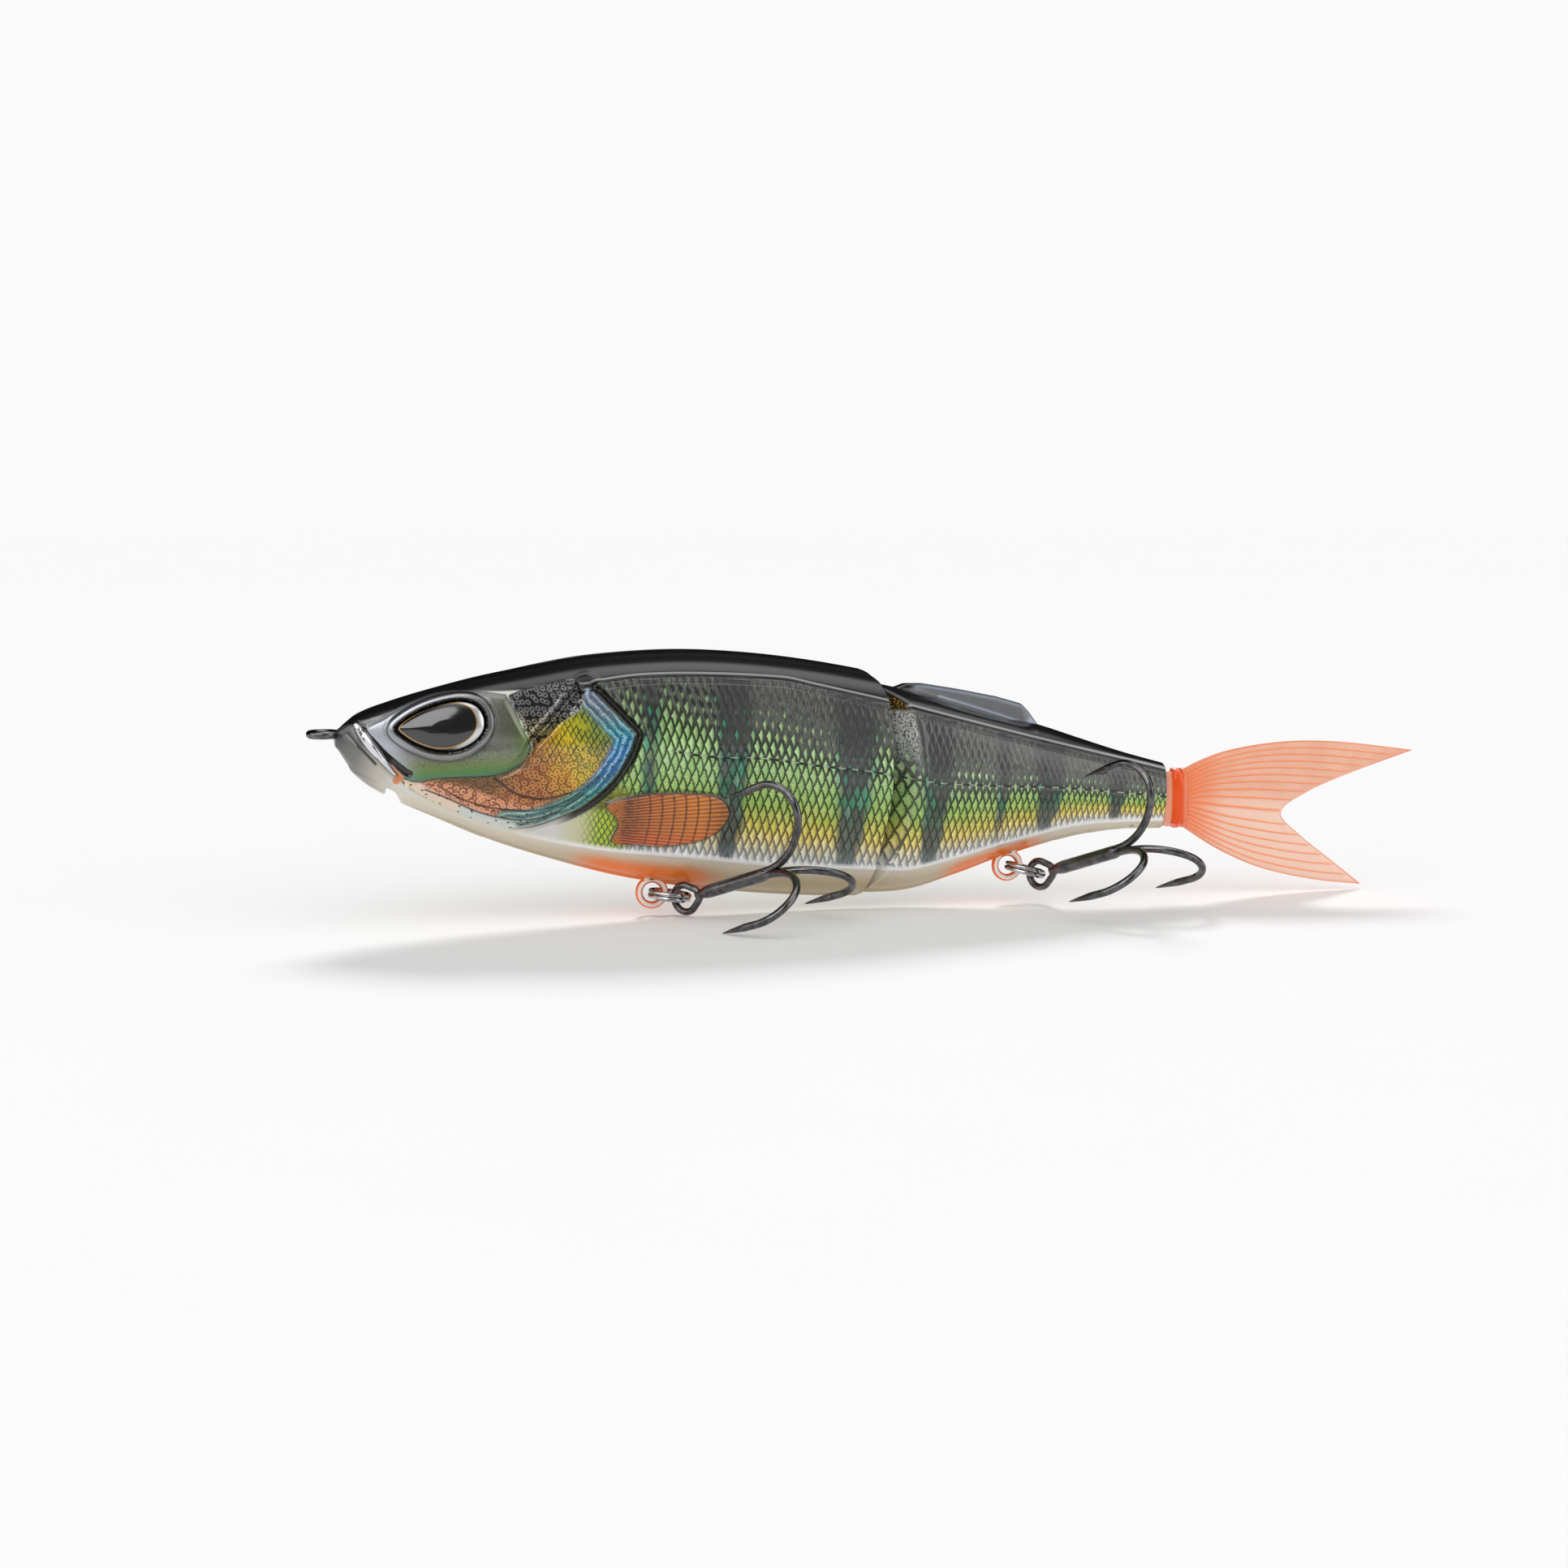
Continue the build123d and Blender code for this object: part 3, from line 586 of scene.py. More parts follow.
    # cheek, from silver at the snout to green at its lower rim
    silver = graded(held((x - 6.0) / 22.0 + wet * .1), (.0, 176, 178, 186), (.4, 140, 142, 147),
                    (.8, 116, 118, 114), (1.0, 104, 108, 84))
    olive = graded(held((-z - 1.0 + (x - 18.0) * .06) / 5.8 + wet * .16),
                   (.0, 92, 94, 94), (.14, 44, 40, 32), (.34, 112, 118, 100),
                   (.6, 104, 122, 64), (.85, 66, 122, 62), (1.0, 24, 98, 74))
    face = mixed(silver, olive, rise(9.0, 14.5, x + wet * 2.0) * rise(-.4, -2.6, z + wet * 1.2))
    green = rise(26.5, 29.6, x - z * .25 + wet * 1.6)
    face.lay((92, 116, 60), green * .8 * rise(3.4, -.5, z))
    face.lay((28, 84, 72), rise(.85, .35, cheek + wet * .3) * rise(-3.4, -5.0, z))
    stipple = rise(.50, .62, noise(where, 4.5, 3, .7)) * rise(11.0, 15.0, x)
    face.lay((44, 46, 36), stipple * (.35 + .5 * band(z + (18.0 - x) * .08, -3.4, .5, 1.0)))
    face.lay((26, 30, 34), rise(.28, .08, cheek) * rise(2.0, .0, z))
    colour.lay(face, rise(-.05, .12, cheek))
    # temple, black with rings that turn gold below
    drops = cells(x + z * .3, z, 1.06, .5)
    ring = band(drops, .30, .06, .08)
    tone = rise(5.2, -.5, z + soft * 1.5)
    panel = mixed((22, 22, 23), (64, 58, 30), tone * .7)
    panel.lay(mixed((128, 128, 130), (168, 152, 84), tone), ring * .85)
    panel.lay((8, 8, 8), rise(.46, .56, drops))
    colour.lay(panel, rise(-.05, .2, temple))
    return colour, ring * rise(.0, .2, temple)


def body_paint():
    """The printed, clear-coated finish of both sections."""
    made, shader = material("body_paint")
    where = place()
    x, _, z = parts_of(where)
    colour, dark = flank_colour(where, x, z)
    # pectoral fin: rays and the scale net that shows through
    fin, ray = given("fin"), given("ray")
    fine, coarse = noise(where, 4.0, 3, .6), noise(where, .35, 2, .5)
    fin_colour = graded(held((x - 41.0) / 20.0 + (fine - .5) * .12), (.0, 64, 34, 20),
                        (.16, 100, 46, 24), (.4, 168, 88, 32), (.75, 200, 120, 42),
                        (1.0, 112, 66, 30))
    fin_colour.lay((222, 146, 78), rise(.2, .9, sine(ray * 2.0 + fine)) * .6)
    fin_colour.lay((120, 46, 22), rise(.55, .95, -sine(ray * 2.0 + fine)) * .7)
    fin_colour.lay((206, 72, 52), rise(-14.8, -16.6, z) * .3)
    arc = sine(x * 3.4 + (z + 12.6) * (z + 12.6) * .10 + fine * 2.2)
    net = rise(.80, .96, arc) * rise(45.0, 49.0, x) * rise(60.0, 57.0, x)
    fin_colour.lay((70, 34, 20), net * .75)
    bristle = rise(.46, .60, noise(vector_of(x * .9, z * 4.5), 1.0, 2, .6)) * rise(49.0, 43.0, x)
    fin_colour.lay((40, 24, 16), bristle * .8)
    hinge_end = rise(44.6, 43.4, x - (z + 13.6) * .05 + (fine - .5) * 1.0)
    fin_colour.lay((176, 104, 40), hinge_end * rise(.3, .6, fine))
    fin_colour.lay((58, 30, 20), rise(.32, .1, fin))
    colour.lay((44, 44, 30), rise(-.5, -.02, fin + (fine - .5) * .2) * .65)
    colour.lay(fin_colour, rise(-.05, .1, fin))
    # lateral line and the row of pits under the back's crease
    lateral, dashes = given("lateral"), rise(-.4, .3, sine(x * 2.6 + coarse * 6.0))
    colour.lay((20, 26, 22), band(lateral, .0, .16, .10) * (.35 + .65 * dashes))
    colour.lay((172, 184, 164), band(lateral, .0, .05, .08) * (1.0 - dashes) * .8)
    below = given("above_crease")
    pit = rise(.35, .75, sine(x * 10.4)) * band(below, -.95, .14, .12)
    pit = pit * rise(38.0, 46.0, x) * rise(124.0, 110.0, x)
    colour.lay((28, 28, 30), pit * .8)
    colour, rings = head_colour(colour, where, x, z)
    # smooth throat and lower jaw
    throat = given("throat") * rise(-.1, -.5, given("gill")) * rise(.3, -.1, below)
    throat = throat * rise(.0, -.2, given("cheek")) * rise(.0, -.2, given("temple"))
    jaw_skin = graded(held((x - 1.5) / 11.0 - (z + 3.0) * .03), (.0, 66, 66, 66), (.3, 108, 107, 104),
                      (.62, 176, 170, 158), (1.0, 204, 202, 198))
    colour.lay(jaw_skin, throat)
    # belly, darker towards the keel as painted shade under the body
    low = given("above_belly")
    mottle = noise(where, 1.2, 2, .5)
    # painted shade: the cream darkens further below the belly's crease
    cream = mixed((206, 198, 180), (176, 158, 126), rise(-.3, -3.5, low + (mottle - .5)))
    cream.lay((84, 83, 82), rise(8.5, 2.5, x + z * .2))
    orange = given("orange")
    cream.lay((228, 112, 14), held(orange * 1.1 + (mottle - .5) * .2 * orange))
    # painted highlight: a white band along the belly's crease
    cream.lay((236, 236, 234), band(low, .0, .3, .5) * rise(.9, .3, orange) * rise(22.0, 40.0, x))
    fade = rise(.55, -.15, low + (noise(where, 5.0, 2, .6) - .5) * .8)
    colour.lay(cream, fade)
    # back, black with a slight silver cast, and the snout
    above = below + (mottle - .5) * .15
    sparkle = rise(.62, .72, noise(where, 14.0, 1, .5))
    black = mixed((13, 13, 14), (40, 40, 42), sparkle * .35)
    # painted highlight: a light line along the bead of the back's crease
    bead = band(below, .42, .07, .08) * rise(28.0, 38.0, x)
    black.lay((156, 157, 158), bead * .8)
    colour.lay(black, rise(-.15, .2, above) * rise(.3, -.1, given("temple")))
    # mouth and the eye's rim
    for name, tone in (("mouth", (12, 11, 10)), ("lip_skin", (205, 126, 78)), ("maxilla", (216, 217, 220)),
                       ("socket", (14, 13, 12)), ("chrome_rim", (150, 151, 154))):
        colour.lay(tone, given(name))
    # bevelled faces at the hinge
    grit = noise(where, 2.4, 4, .75)
    bevel = mixed((188, 190, 186), (66, 70, 64), rise(.46, .58, grit))
    bevel.lay(colour, rise(-.5, -8.0, z + (mottle - .5) * 5.0) * .9)
    gold = mixed((40, 32, 18), (206, 160, 70), rise(.53, .60, grit))
    bevel.lay(gold, rise(2.2, 2.8, z))
    colour.lay(bevel, given("wall"))
    # painted shade deep in the gap between the sections
    colour.lay((30, 30, 30), given("deep"))
    metal = larger(larger(given("maxilla"), given("chrome_rim")), rings * .6)
    metal = larger(metal, rise(.0, .3, given("cheek")) * rise(-1.0, .5, z) * .75)
    metal = held(larger(metal, rise(0.0, .4, given("gill")) * .25))
    rough = .34 + (fine - .5) * .16 + rise(.0, 1.0, dark) * .06
    rough = rough - larger(given("maxilla"), given("chrome_rim")) * .18
    dress(shader, base_color=colour, metallic=metal, roughness=rough, specular_ior_level=.3,
          coat_weight=.8, coat_roughness=.07, coat_ior=1.5)
    set_bump(shader, noise(where, 6.0, 3, .6) + rings, .12, .12)
    return made


# ---------------------------------------------------------------- shape of the body
def section_table(count):
    """The cross-section outline evenly along its length: shares across and down."""
    line = smooth_line([(a * 10, d * 36) for a, d in SECTION_SHAPE], 24)
    run = run_of(line)
    at = np.linspace(0, run[-1], count)
    across, down = np.interp(at, run, line[:, 0]) / 10, np.interp(at, run, line[:, 1]) / 36
    across[0] = across[-1] = 0
    return np.clip(across, 0, None), np.clip(down, 0, 1)


def surface(x, across, down, back, keel, width):
    """Y and z of the plain section's outline at each x."""
    top, bottom, half = along(back, x), along(keel, x), along(width, x)
    return half * across, top - (top - bottom) * down


def hinge_angle():
    """Angle from X, in plan, of the rear section's bevel."""
    shoulder = float(along(REAR_HALF_WIDTH, np.array(REAR_SHOULDER_X)))
    run = REAR_SHOULDER_X - HINGE_X
    return math.atan2(shoulder, run) - math.asin(KNUCKLE_R / math.hypot(run, shoulder))


def hinge_face(y, radius, angle):
    """X of a round-bottomed V about the hinge axis, for a distance y from the middle."""
    touch = radius * math.cos(angle)
    arc = HINGE_X - np.sqrt(np.clip(radius ** 2 - y ** 2, 0, None))
    line = HINGE_X - radius * math.sin(angle) + (y - touch) / math.tan(angle)
    return np.where(y < touch, arc, line)


def normals_of(x, y, z):
    """Outward unit normals of a grid of points, for the flank at y > 0."""
    point = np.stack([x, y, z], -1)
    du, dv = np.gradient(point, axis=0), np.gradient(point, axis=1)
    n = np.cross(dv, du)
    n /= np.linalg.norm(n, axis=-1)[..., None] + 1e-12
    flip = np.where((n[..., 1:2] < 0) & (np.abs(y[..., None]) > .5), -1, 1)
    return n * flip


def scale_lattice(x, z):
    """Column and row values of the scales; a scale is one unit of each."""
    stations = np.linspace(-5, 140, 600)
    shrink = np.interp(stations, [85, REAR_END_X], [1, SCALE_SHRINK])
    column = np.interp(x, stations, np.cumsum(np.gradient(stations) / (SCALE_PITCH[0] * shrink)))
    height = SCALE_PITCH[1] * np.interp(x, [85, REAR_END_X], [1, SCALE_SHRINK])
    return column, (z - along(LATERAL_LINE, x)) / height


def scale_relief(a, b):
    """Height of the overlapping scales."""
    a = a - SCALE_BOW * np.abs(np.sin(2 * np.pi * b))
    p, q = a + b, a - b
    fu, fv = p - np.round(p), q - np.round(q)
    edge = .5 - np.maximum(np.abs(fu), np.abs(fv))
    return step(0, .17, edge) * (.035 + .055 * (fu + fv) * .5)


def flank_values(x, z):
    """What the paint needs on the flanks of both sections.

    share runs from 0 at the back's crease to 1 at the belly's edge.
    """
    crease, low = along(TOP_CREASE, x), along(LOW_CREASE, x)
    share = (crease - z) / (crease - low)
    a, b = scale_lattice(x, z)
    bar = np.zeros(x.shape)
    for centre, half, strength in BARS:
        lean = centre + (z + 8) * .03
        spread = half * (1.25 - .55 * np.clip(share, 0, 1))
        bar = np.maximum(bar, strength * bump(x - lean, spread * 1.25))
    lateral = off_line(x, z, LATERAL_LINE, 4)
    orange = np.zeros(x.shape)
    for at, reach in BELLY_PATCHES:
        depth = (low - z) / np.maximum(low - along(FRONT_KEEL if at < HINGE_X else REAR_KEEL, x), .5)
        orange = np.maximum(orange, step(1.0, .45, np.abs(x - at) / reach) * step(.15, .75, depth))
    return {
        "share": share, "tone": share - np.interp(x, *np.array(LIME_ONSET).T), "bar": bar,
        "scale_a": a, "scale_b": b, "above_crease": z - crease, "above_belly": z - low,
        "lateral": lateral + 9 * step(52, 43, x),
        "orange": orange, "throat": step(37, 33.5, x),
    }


HEAD_VALUES = ("gill", "cover_line", "rim", "rear_side", "jaw_edge", "jaw_groove", "jaw_seam",
               "cheek_fold", "temple", "cheek", "fin", "ray", "mouth", "lip_skin", "maxilla",
               "socket", "chrome_rim", "wall", "deep")
# what the head's values say on the rear section: well outside each outline, far from each line
OUTSIDE = -30.0
SIGNED_VALUES = ("gill", "temple", "cheek", "fin")
FAR_VALUES = ("rim", "jaw_edge", "jaw_groove", "jaw_seam", "cheek_fold", "cover_line")


def no_head(count):
    """The head's values where there is no head."""
    values = {name: np.zeros(count) for name in HEAD_VALUES}
    values.update({name: np.full(count, OUTSIDE) for name in SIGNED_VALUES})
    values.update({name: np.full(count, -OUTSIDE) for name in FAR_VALUES})
    return values


def eye_frame():
    """Matrix of the right eye's plane: x to the tail, y up, z outward."""
    centre = Matrix.Translation((EYE_CENTRE[0], EYE_PLANE_Y, EYE_CENTRE[1]))
    turn = turned(EYE_TILT, "X") @ turned(EYE_TURN, "Z") @ turned(-90, "X")
    return centre @ turn @ Matrix.Diagonal((1, -1, 1, 1))


def almond():
    """The eye's outline in its own plane, round behind and narrow ahead."""
    return smooth_line(EYE_ALMOND, 6, closed=True)


def head_values(x, z):
    """Distances to the moulded outlines of the head and the pectoral fin."""
    gill = chain(GILL_REAR, GILL_TOP, GILL_FRONT, CHEEK_LOWER, JAW_LOWER)
    cheek = chain(CHEEK_REAR, CHEEK_LOWER, CHEEK_TOP)
    values = no_head(x.shape)
    values["gill"] = inside_distance(x, z, gill)
    values["cheek"] = inside_distance(x, z, cheek)
    values["temple"] = inside_distance(x, z, smooth_line(TEMPLE, 2, closed=True))
    values["fin"] = inside_distance(x, z, smooth_line(PECTORAL, 6, closed=True))
    gill_edge = np.vstack([smooth_line(GILL_REAR), smooth_line(GILL_TOP[:2], 2)])
    values["rim"] = line_distance(x, z, gill_edge)[0]
    values["rear_side"] = step(26, 31, x)
    d, _, side = line_distance(x, z, smooth_line(COVER_LOWER))
    values["cover_line"] = d * side
    values["jaw_edge"] = off_line(x, z, JAW_LOWER[:-1] + [(27, -14.6)])
    for name, line in (("jaw_groove", JAW_GROOVE), ("jaw_seam", JAW_SEAM), ("cheek_fold", CHEEK_FOLD)):
        values[name] = off_line(x, z, line)
    values["ray"] = (z + 13.4) / (x - 22.0) * 170
    mouth, along_mouth, _ = line_distance(x, z, smooth_line(MOUTH_LINE))
    blade, along_blade, _ = line_distance(x, z, smooth_line(MAXILLA))
    lip = off_line(x, z, LIP_LINE)
    half = .22 + .42 * np.sin(np.pi * np.clip(along_blade, 0, 1) ** .8)
    near = (x < 14) & (z < 3)
    gap = np.maximum(step(.52, .34, mouth - .16 * along_mouth), step(.24, .12, lip))
    gap = gap + step(half + .32, half + .12, blade) * step(half - .1, half + .05, blade)
    values["mouth"] = np.clip(near * gap, 0, 1)
    values["maxilla"] = near * step(half + .1, half - .04, blade)
    skin = off_line(x, z, LIP_CORNER)
    values["lip_skin"] = step(.62, .42, skin) * (1 - values["maxilla"]) * (1 - values["mouth"])
    return values, (mouth - .2 * along_mouth, blade - half, lip)


def head_relief(x, z, values, near):
    """How far the head's details stand out of the plain section."""
    gill, temple, cheek, fin = (values[n] for n in ("gill", "temple", "cheek", "fin"))
    mouth, blade, lip = near
    plate = values["rear_side"]
    height = .55 * step(-.05, .7, gill) * (.35 + .65 * plate)
    height -= .75 * bump(gill + .75, .5) * plate
    height += .22 * bump(gill + 1.55, .35) * plate * step(-9, -3, z)
    height += .20 * bump(values["rim"] - .45, .35) * plate
    height -= .14 * bump(values["rim"] - 3.0, .3) * plate * step(-.1, .5, gill)
    height += .45 * step(-.1, .9, cheek)
    height -= .22 * bump(cheek + .25, .28) * step(2.0, .0, z)
    height -= .30 * step(0, .5, temple)
    for name, depth in (("jaw_groove", .22), ("jaw_seam", .18), ("cheek_fold", .28)):
        height -= depth * bump(values[name], .22) * step(-.1, .4, gill)
    height += .07 * np.sin(values["rim"] * 5.2) * step(3.1, 2.4, values["rim"]) * step(0, .4, gill)
    edge = step(-.1, .35, fin)
    height += edge * (.50 + .05 * np.sin(values["ray"] * 2.0))
    height -= .2 * bump(fin + .2, .25)
    near_mouth = (x < 14) & (z < 3)
    height -= near_mouth * .55 * bump(np.clip(mouth, 0, None), .32)
    height -= near_mouth * .25 * bump(lip, .25)
    height += near_mouth * .34 * step(.25, -.25, blade)
    height -= near_mouth * .25 * bump(blade - .3, .18)
    return height


def body_relief(x, values):
    """Back ridge, belly edge and scales."""
    above, low = values["above_crease"], values["above_belly"]
    grown = step(26, 40, x)
    height = .50 * step(-.1, .6, above) + .30 * bump(above + .30, .20) - .16 * bump(above + .72, .22)
    height *= grown
    height += .20 * bump(low, .45) - .30 * step(0, -1.2, low) * step(8, 20, x)
    skin = step(-.5, -1.2, above) * step(.2, 1.4, low) * step(40, 46, x)
    skin *= step(-1.4, -2.2, values["gill"]) * step(.0, -.35, values["fin"])
    height += skin * scale_relief(values["scale_a"], values["scale_b"])
    height -= .12 * bump(values["lateral"], .3) * skin
    return height


def hollow_eye(points, values):
    """Cuts the eye's pocket and raises the rim around it."""
    local = placed(points, eye_frame().inverted())
    d = inside_distance(local[:, 0], local[:, 1], almond())
    outer = local[:, 2] > -7
    d = np.where(outer, d, OUTSIDE)
    floor = step(-.02, .16, d)
    lip = np.where(d < .16, bump(np.clip(-d - .55, 0, None), .75), 0)
    level = local[:, 2] + (EYE_RIM_HEIGHT - local[:, 2]) * lip * step(-2.4, -.4, d)
    ring = .16 * bump(d + .95, .22) - .16 * bump(d + 1.45, .2)
    local[:, 2] = np.where(d > -2.6, level + ring * outer, local[:, 2])
    local[:, 2] += floor * (-EYE_POCKET - local[:, 2])
    values["socket"] = np.maximum(step(-.42, -.28, d), bump(d + 1.28, .16) * .9) * outer
    values["chrome_rim"] = bump(d + .72, .18) * outer
    return placed(local, eye_frame())


def chin_notch(x, y, z):
    """The step between the lower jaw and the throat."""
    gap = step(8.9, 9.3, x) * step(11.6, 10.5, x)
    keel = along(FRONT_KEEL, x)
    return z + gap * step(3.4, .6, z - keel) * 1.25 * step(3.6, 2.0, y)


def both_halves(section, finish, x, y, z, values):
    """The closed left and right halves of a section, from the grid of one flank."""
    rows, columns = x.shape
    faces = grid_faces(rows, columns)
    top = np.arange(rows - 1) * columns
    bottom = top + columns - 1
    faces += np.stack([top + columns, top, bottom, bottom + columns], 1).tolist()
    for side, word in ((-1, "left"), (1, "right")):
        points = np.stack([x, side * y, z], -1).reshape(-1, 3)
        piece = mesh_piece(f"{section}_half_{word}", points, faces, f"{section}_section",
                           finish, values, sharp=58)
        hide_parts(f"{section}_shell_{word}")


def with_wall(x, y, z, values, wall_x, last, count=22):
    """Adds rows that carry the rim inward along the hinge face to the middle plane."""
    share = np.linspace(0, 1, count)[1:, None]
    edge = -1 if last else 0
    y_wall = y[edge][None] * (1 - share)
    z_wall = np.broadcast_to(z[edge], y_wall.shape)
    x_wall = wall_x(y_wall, z_wall)

    def grow(rows, more):
        return np.vstack((rows, more) if last else (more[::-1], rows))

    x, y, z = grow(x, x_wall), grow(y, y_wall), grow(z, z_wall)
    inward = (y[edge][None] - y_wall) * (.8 if last else -.8)
    folded = flank_values(np.broadcast_to(x[edge], y_wall.shape) + inward, z_wall)
    grown = {}
    for key, value in values.items():
        rim = folded[key] if key in folded else np.repeat(value[edge][None], count - 1, 0)
        # deep marks the inner part of the wall, where the paint puts shade in the gap between the sections
        if key in ("wall", "deep"):
            inward = step(.30, .62, share) if key == "deep" else np.ones_like(share)
            rim = np.broadcast_to(inward, rim.shape)
        grown[key] = grow(value, rim)
    return x, y, z, grown


def front_section(finish):
    """Both halves of the front section."""
    rows, columns = ((430, 235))
    across, down = section_table(columns)
    angle = hinge_angle() + math.radians(HINGE_RANGE + HINGE_SPARE)

    def rear_face(y, z):
        ridge_x, ridge_z, slant = RIDGE_END
        return np.minimum(hinge_face(y, GROOVE_R, angle), ridge_x + (ridge_z - z) * slant)

    end = np.full(columns, HINGE_X - 1.5)        # a first guess, drawn in to the hinge's face
    for _ in range(6):
        y, z = surface(end, across, down, FRONT_BACK, FRONT_KEEL, FRONT_HALF_WIDTH)
        end = rear_face(y, z)
    along_x = np.linspace(0, 1, rows)[:, None]
    x = NOSE_X + (end[None] - NOSE_X) * along_x
    y, z = surface(x, across[None], down[None], FRONT_BACK, FRONT_KEEL, FRONT_HALF_WIDTH)
    values, near = head_values(x, z)
    values.update(flank_values(x, z))
    height = head_relief(x, z, values, near) + body_relief(x, values)
    height *= step(0, .6, x - NOSE_X) * step(0, .5, end[None] - x + .15)
    normal = normals_of(x, y, z)
    height *= step(0, .9, y)
    points = (np.stack([x, y, z], -1) + normal * height[..., None]).reshape(-1, 3)
    flat = {k: v.reshape(-1) for k, v in values.items()}
    points = hollow_eye(points, flat)
    x, y, z = (points[:, k].reshape(rows, columns) for k in range(3))
    y[:, 0] = y[:, -1] = 0
    z = chin_notch(x, y, z)
    values = {k: v.reshape(rows, columns) for k, v in flat.items()}
    x, y, z, values = with_wall(x, y, z, values, rear_face, last=True)
    # rounded nose: the first ring draws in to a point ahead of it
    shares = np.array([0.0, .25, .5, .72, .9])[:, None]
    ahead = NOSE_X - NOSE_ROUND * np.sqrt(1 - shares ** 2) + np.zeros(columns)
    x = np.vstack([ahead, x])
    y = np.vstack([y[0] * shares, y])
    z = np.vstack([NOSE_Z + (z[0] - NOSE_Z) * shares, z])
    values = {k: np.vstack([v[:1]] * len(shares) + [v]) for k, v in values.items()}
    both_halves("front", finish, x, y, z, values)


def rear_section(finish):
    """Both halves of the rear section."""
    rows, columns = ((260, 200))
    across, down = section_table(columns)
    angle = hinge_angle()

    def front_face(y, z):
        return hinge_face(y, KNUCKLE_R, angle)

    start = np.full(columns, HINGE_X + .5)
    for _ in range(12):
        y, z = surface(start, across, down, REAR_BACK, REAR_KEEL, REAR_HALF_WIDTH)
        start = .5 * start + .5 * np.minimum(front_face(y, z), REAR_SHOULDER_X)
    along_x = np.linspace(0, 1, rows)[:, None]
    x = start[None] + (REAR_END_X - start[None]) * along_x
    y, z = surface(x, across[None], down[None], REAR_BACK, REAR_KEEL, REAR_HALF_WIDTH)
    values = no_head(x.shape)
    values.update(flank_values(x, z))
    height = body_relief(x, values)
    above = values["above_crease"]
    scoop, along_scoop, _ = line_distance(x, z, smooth_line(FIN_SCOOP))
    height -= .55 * bump(scoop, .8) * np.sin(np.pi * np.clip(along_scoop, 0, 1))
    height += .12 * bump(x - start[None] - .45, .35) * step(.2, -.6, above)
    height *= step(0, .5, x - start[None] + .1) * step(0, .5, REAR_END_X - x + .1)
    height *= step(0, .9, y)
    points = np.stack([x, y, z], -1) + normals_of(x, y, z) * height[..., None]
    x, y, z = (points[..., k].copy() for k in range(3))
    y[:, 0] = y[:, -1] = 0
    x, y, z, values = with_wall(x, y, z, values, front_face, last=False)
    x, y, z, values = with_wall(x, y, z, values, lambda y, z: np.full(y.shape, REAR_END_X), True, 6)
    values["wall"][x > REAR_END_X - .3] = 0
    both_halves("rear", finish, x, y, z, values)


FIN_TOP = [(86.6, 4.9), (91.0, 6.35), (94.0, 6.3), (100, 5.3), (106, 4.1), (110.2, 2.9), (111.4, 1.7),
           (113.4, -1.0)]
FIN_EDGE = [(0, 0, 0), (.5, 0, 0), (.86, .05, 0), (.98, .20, .25), (1.0, .42, .9), (1.0, .6, 1.0)]
FIN_FOOT = [(86.6, 4.6), (92.5, 5.4), (100, 3.2), (107, 1.0), (113.4, -1.2)]


def dorsal_fin():
    """The raised blade along the rear section's back."""
    made, shader = material("dorsal_fin_paint")
    grain, side = noise(place(), 11.0, 3, .7), given("fin_side")
    colour = mixed((22, 22, 23), mixed((112, 113, 116), (84, 85, 88), rise(.4, .6, grain)), side)
    colour.lay((150, 162, 178), given("fin_rim"))
    dress(shader, base_color=colour, roughness=.26 + side * .22 + grain * .08, coat_weight=.6,
          coat_roughness=.08)
    set_bump(shader, grain, .25, .06)
    rows = 90
    xs = np.linspace(FIN_TOP[0][0], FIN_TOP[-1][0], rows)
    top = np.interp(xs, *np.array(FIN_TOP).T)
    foot = np.minimum(np.interp(xs, *np.array(FIN_FOOT).T), top - .1)
    base = along(REAR_BACK, xs) - 1.5
    grow = step(FIN_TOP[0][0], 91.5, xs)
    half_top, half_foot = .6 + .75 * grow, .7 + 1.0 * grow
    # half of a cross-section from the top down: distance out, height, share of the side's finish
    profile = [(half_top * across, top - np.minimum(drop, (top - foot) * .5), side_share)
               for across, drop, side_share in FIN_EDGE]
    for share in np.linspace(.15, 1, 8):
        down = top - .6
        profile.append((half_top + (half_foot - half_top) * share, down + (foot - down) * share, 1))
    profile += [(half_foot + .25, foot - .18, .3), (half_foot + .9, foot - .55, 0),
                (half_foot + 1.6, np.minimum(base, foot - 1.0), 0)]
    right = np.stack([np.stack(np.broadcast_arrays(xs, across, np.minimum(height, top)), -1)
                      for across, height, _ in profile], 1)
    left = right[:, ::-1] * [1, -1, 1]
    points = np.concatenate([left[:, :-1], right], 1)
    shares = np.array([p[2] for p in profile])
    shares = np.concatenate([shares[::-1][:-1], shares])
    gap_top = top[:, None] - points[..., 2]
    gap_foot = points[..., 2] - foot[:, None]
    rim = np.clip(bump(gap_top - .35, .22) + bump(gap_foot, .2) * (xs[:, None] > 96)
                  + bump(xs[:, None] - 112.3 + gap_top * .5, .35) * (gap_foot > 0), 0, 1)
    side_mask = np.broadcast_to(shares, points.shape[:2]) * step(91.5, 93, xs)[:, None]
    rim = rim * side_mask
    columns = points.shape[1]
    number = np.arange(rows * columns).reshape(rows, columns)
    faces = grid_faces(rows, columns)
    faces += [number[0].tolist(), number[-1, ::-1].tolist()]
    faces.append(number[::-1, 0].tolist() + number[:, -1].tolist())
    mesh_piece("dorsal_fin", points.reshape(-1, 3), faces, "rear_section", made,
               {"fin_side": side_mask, "fin_rim": rim}, sharp=40)


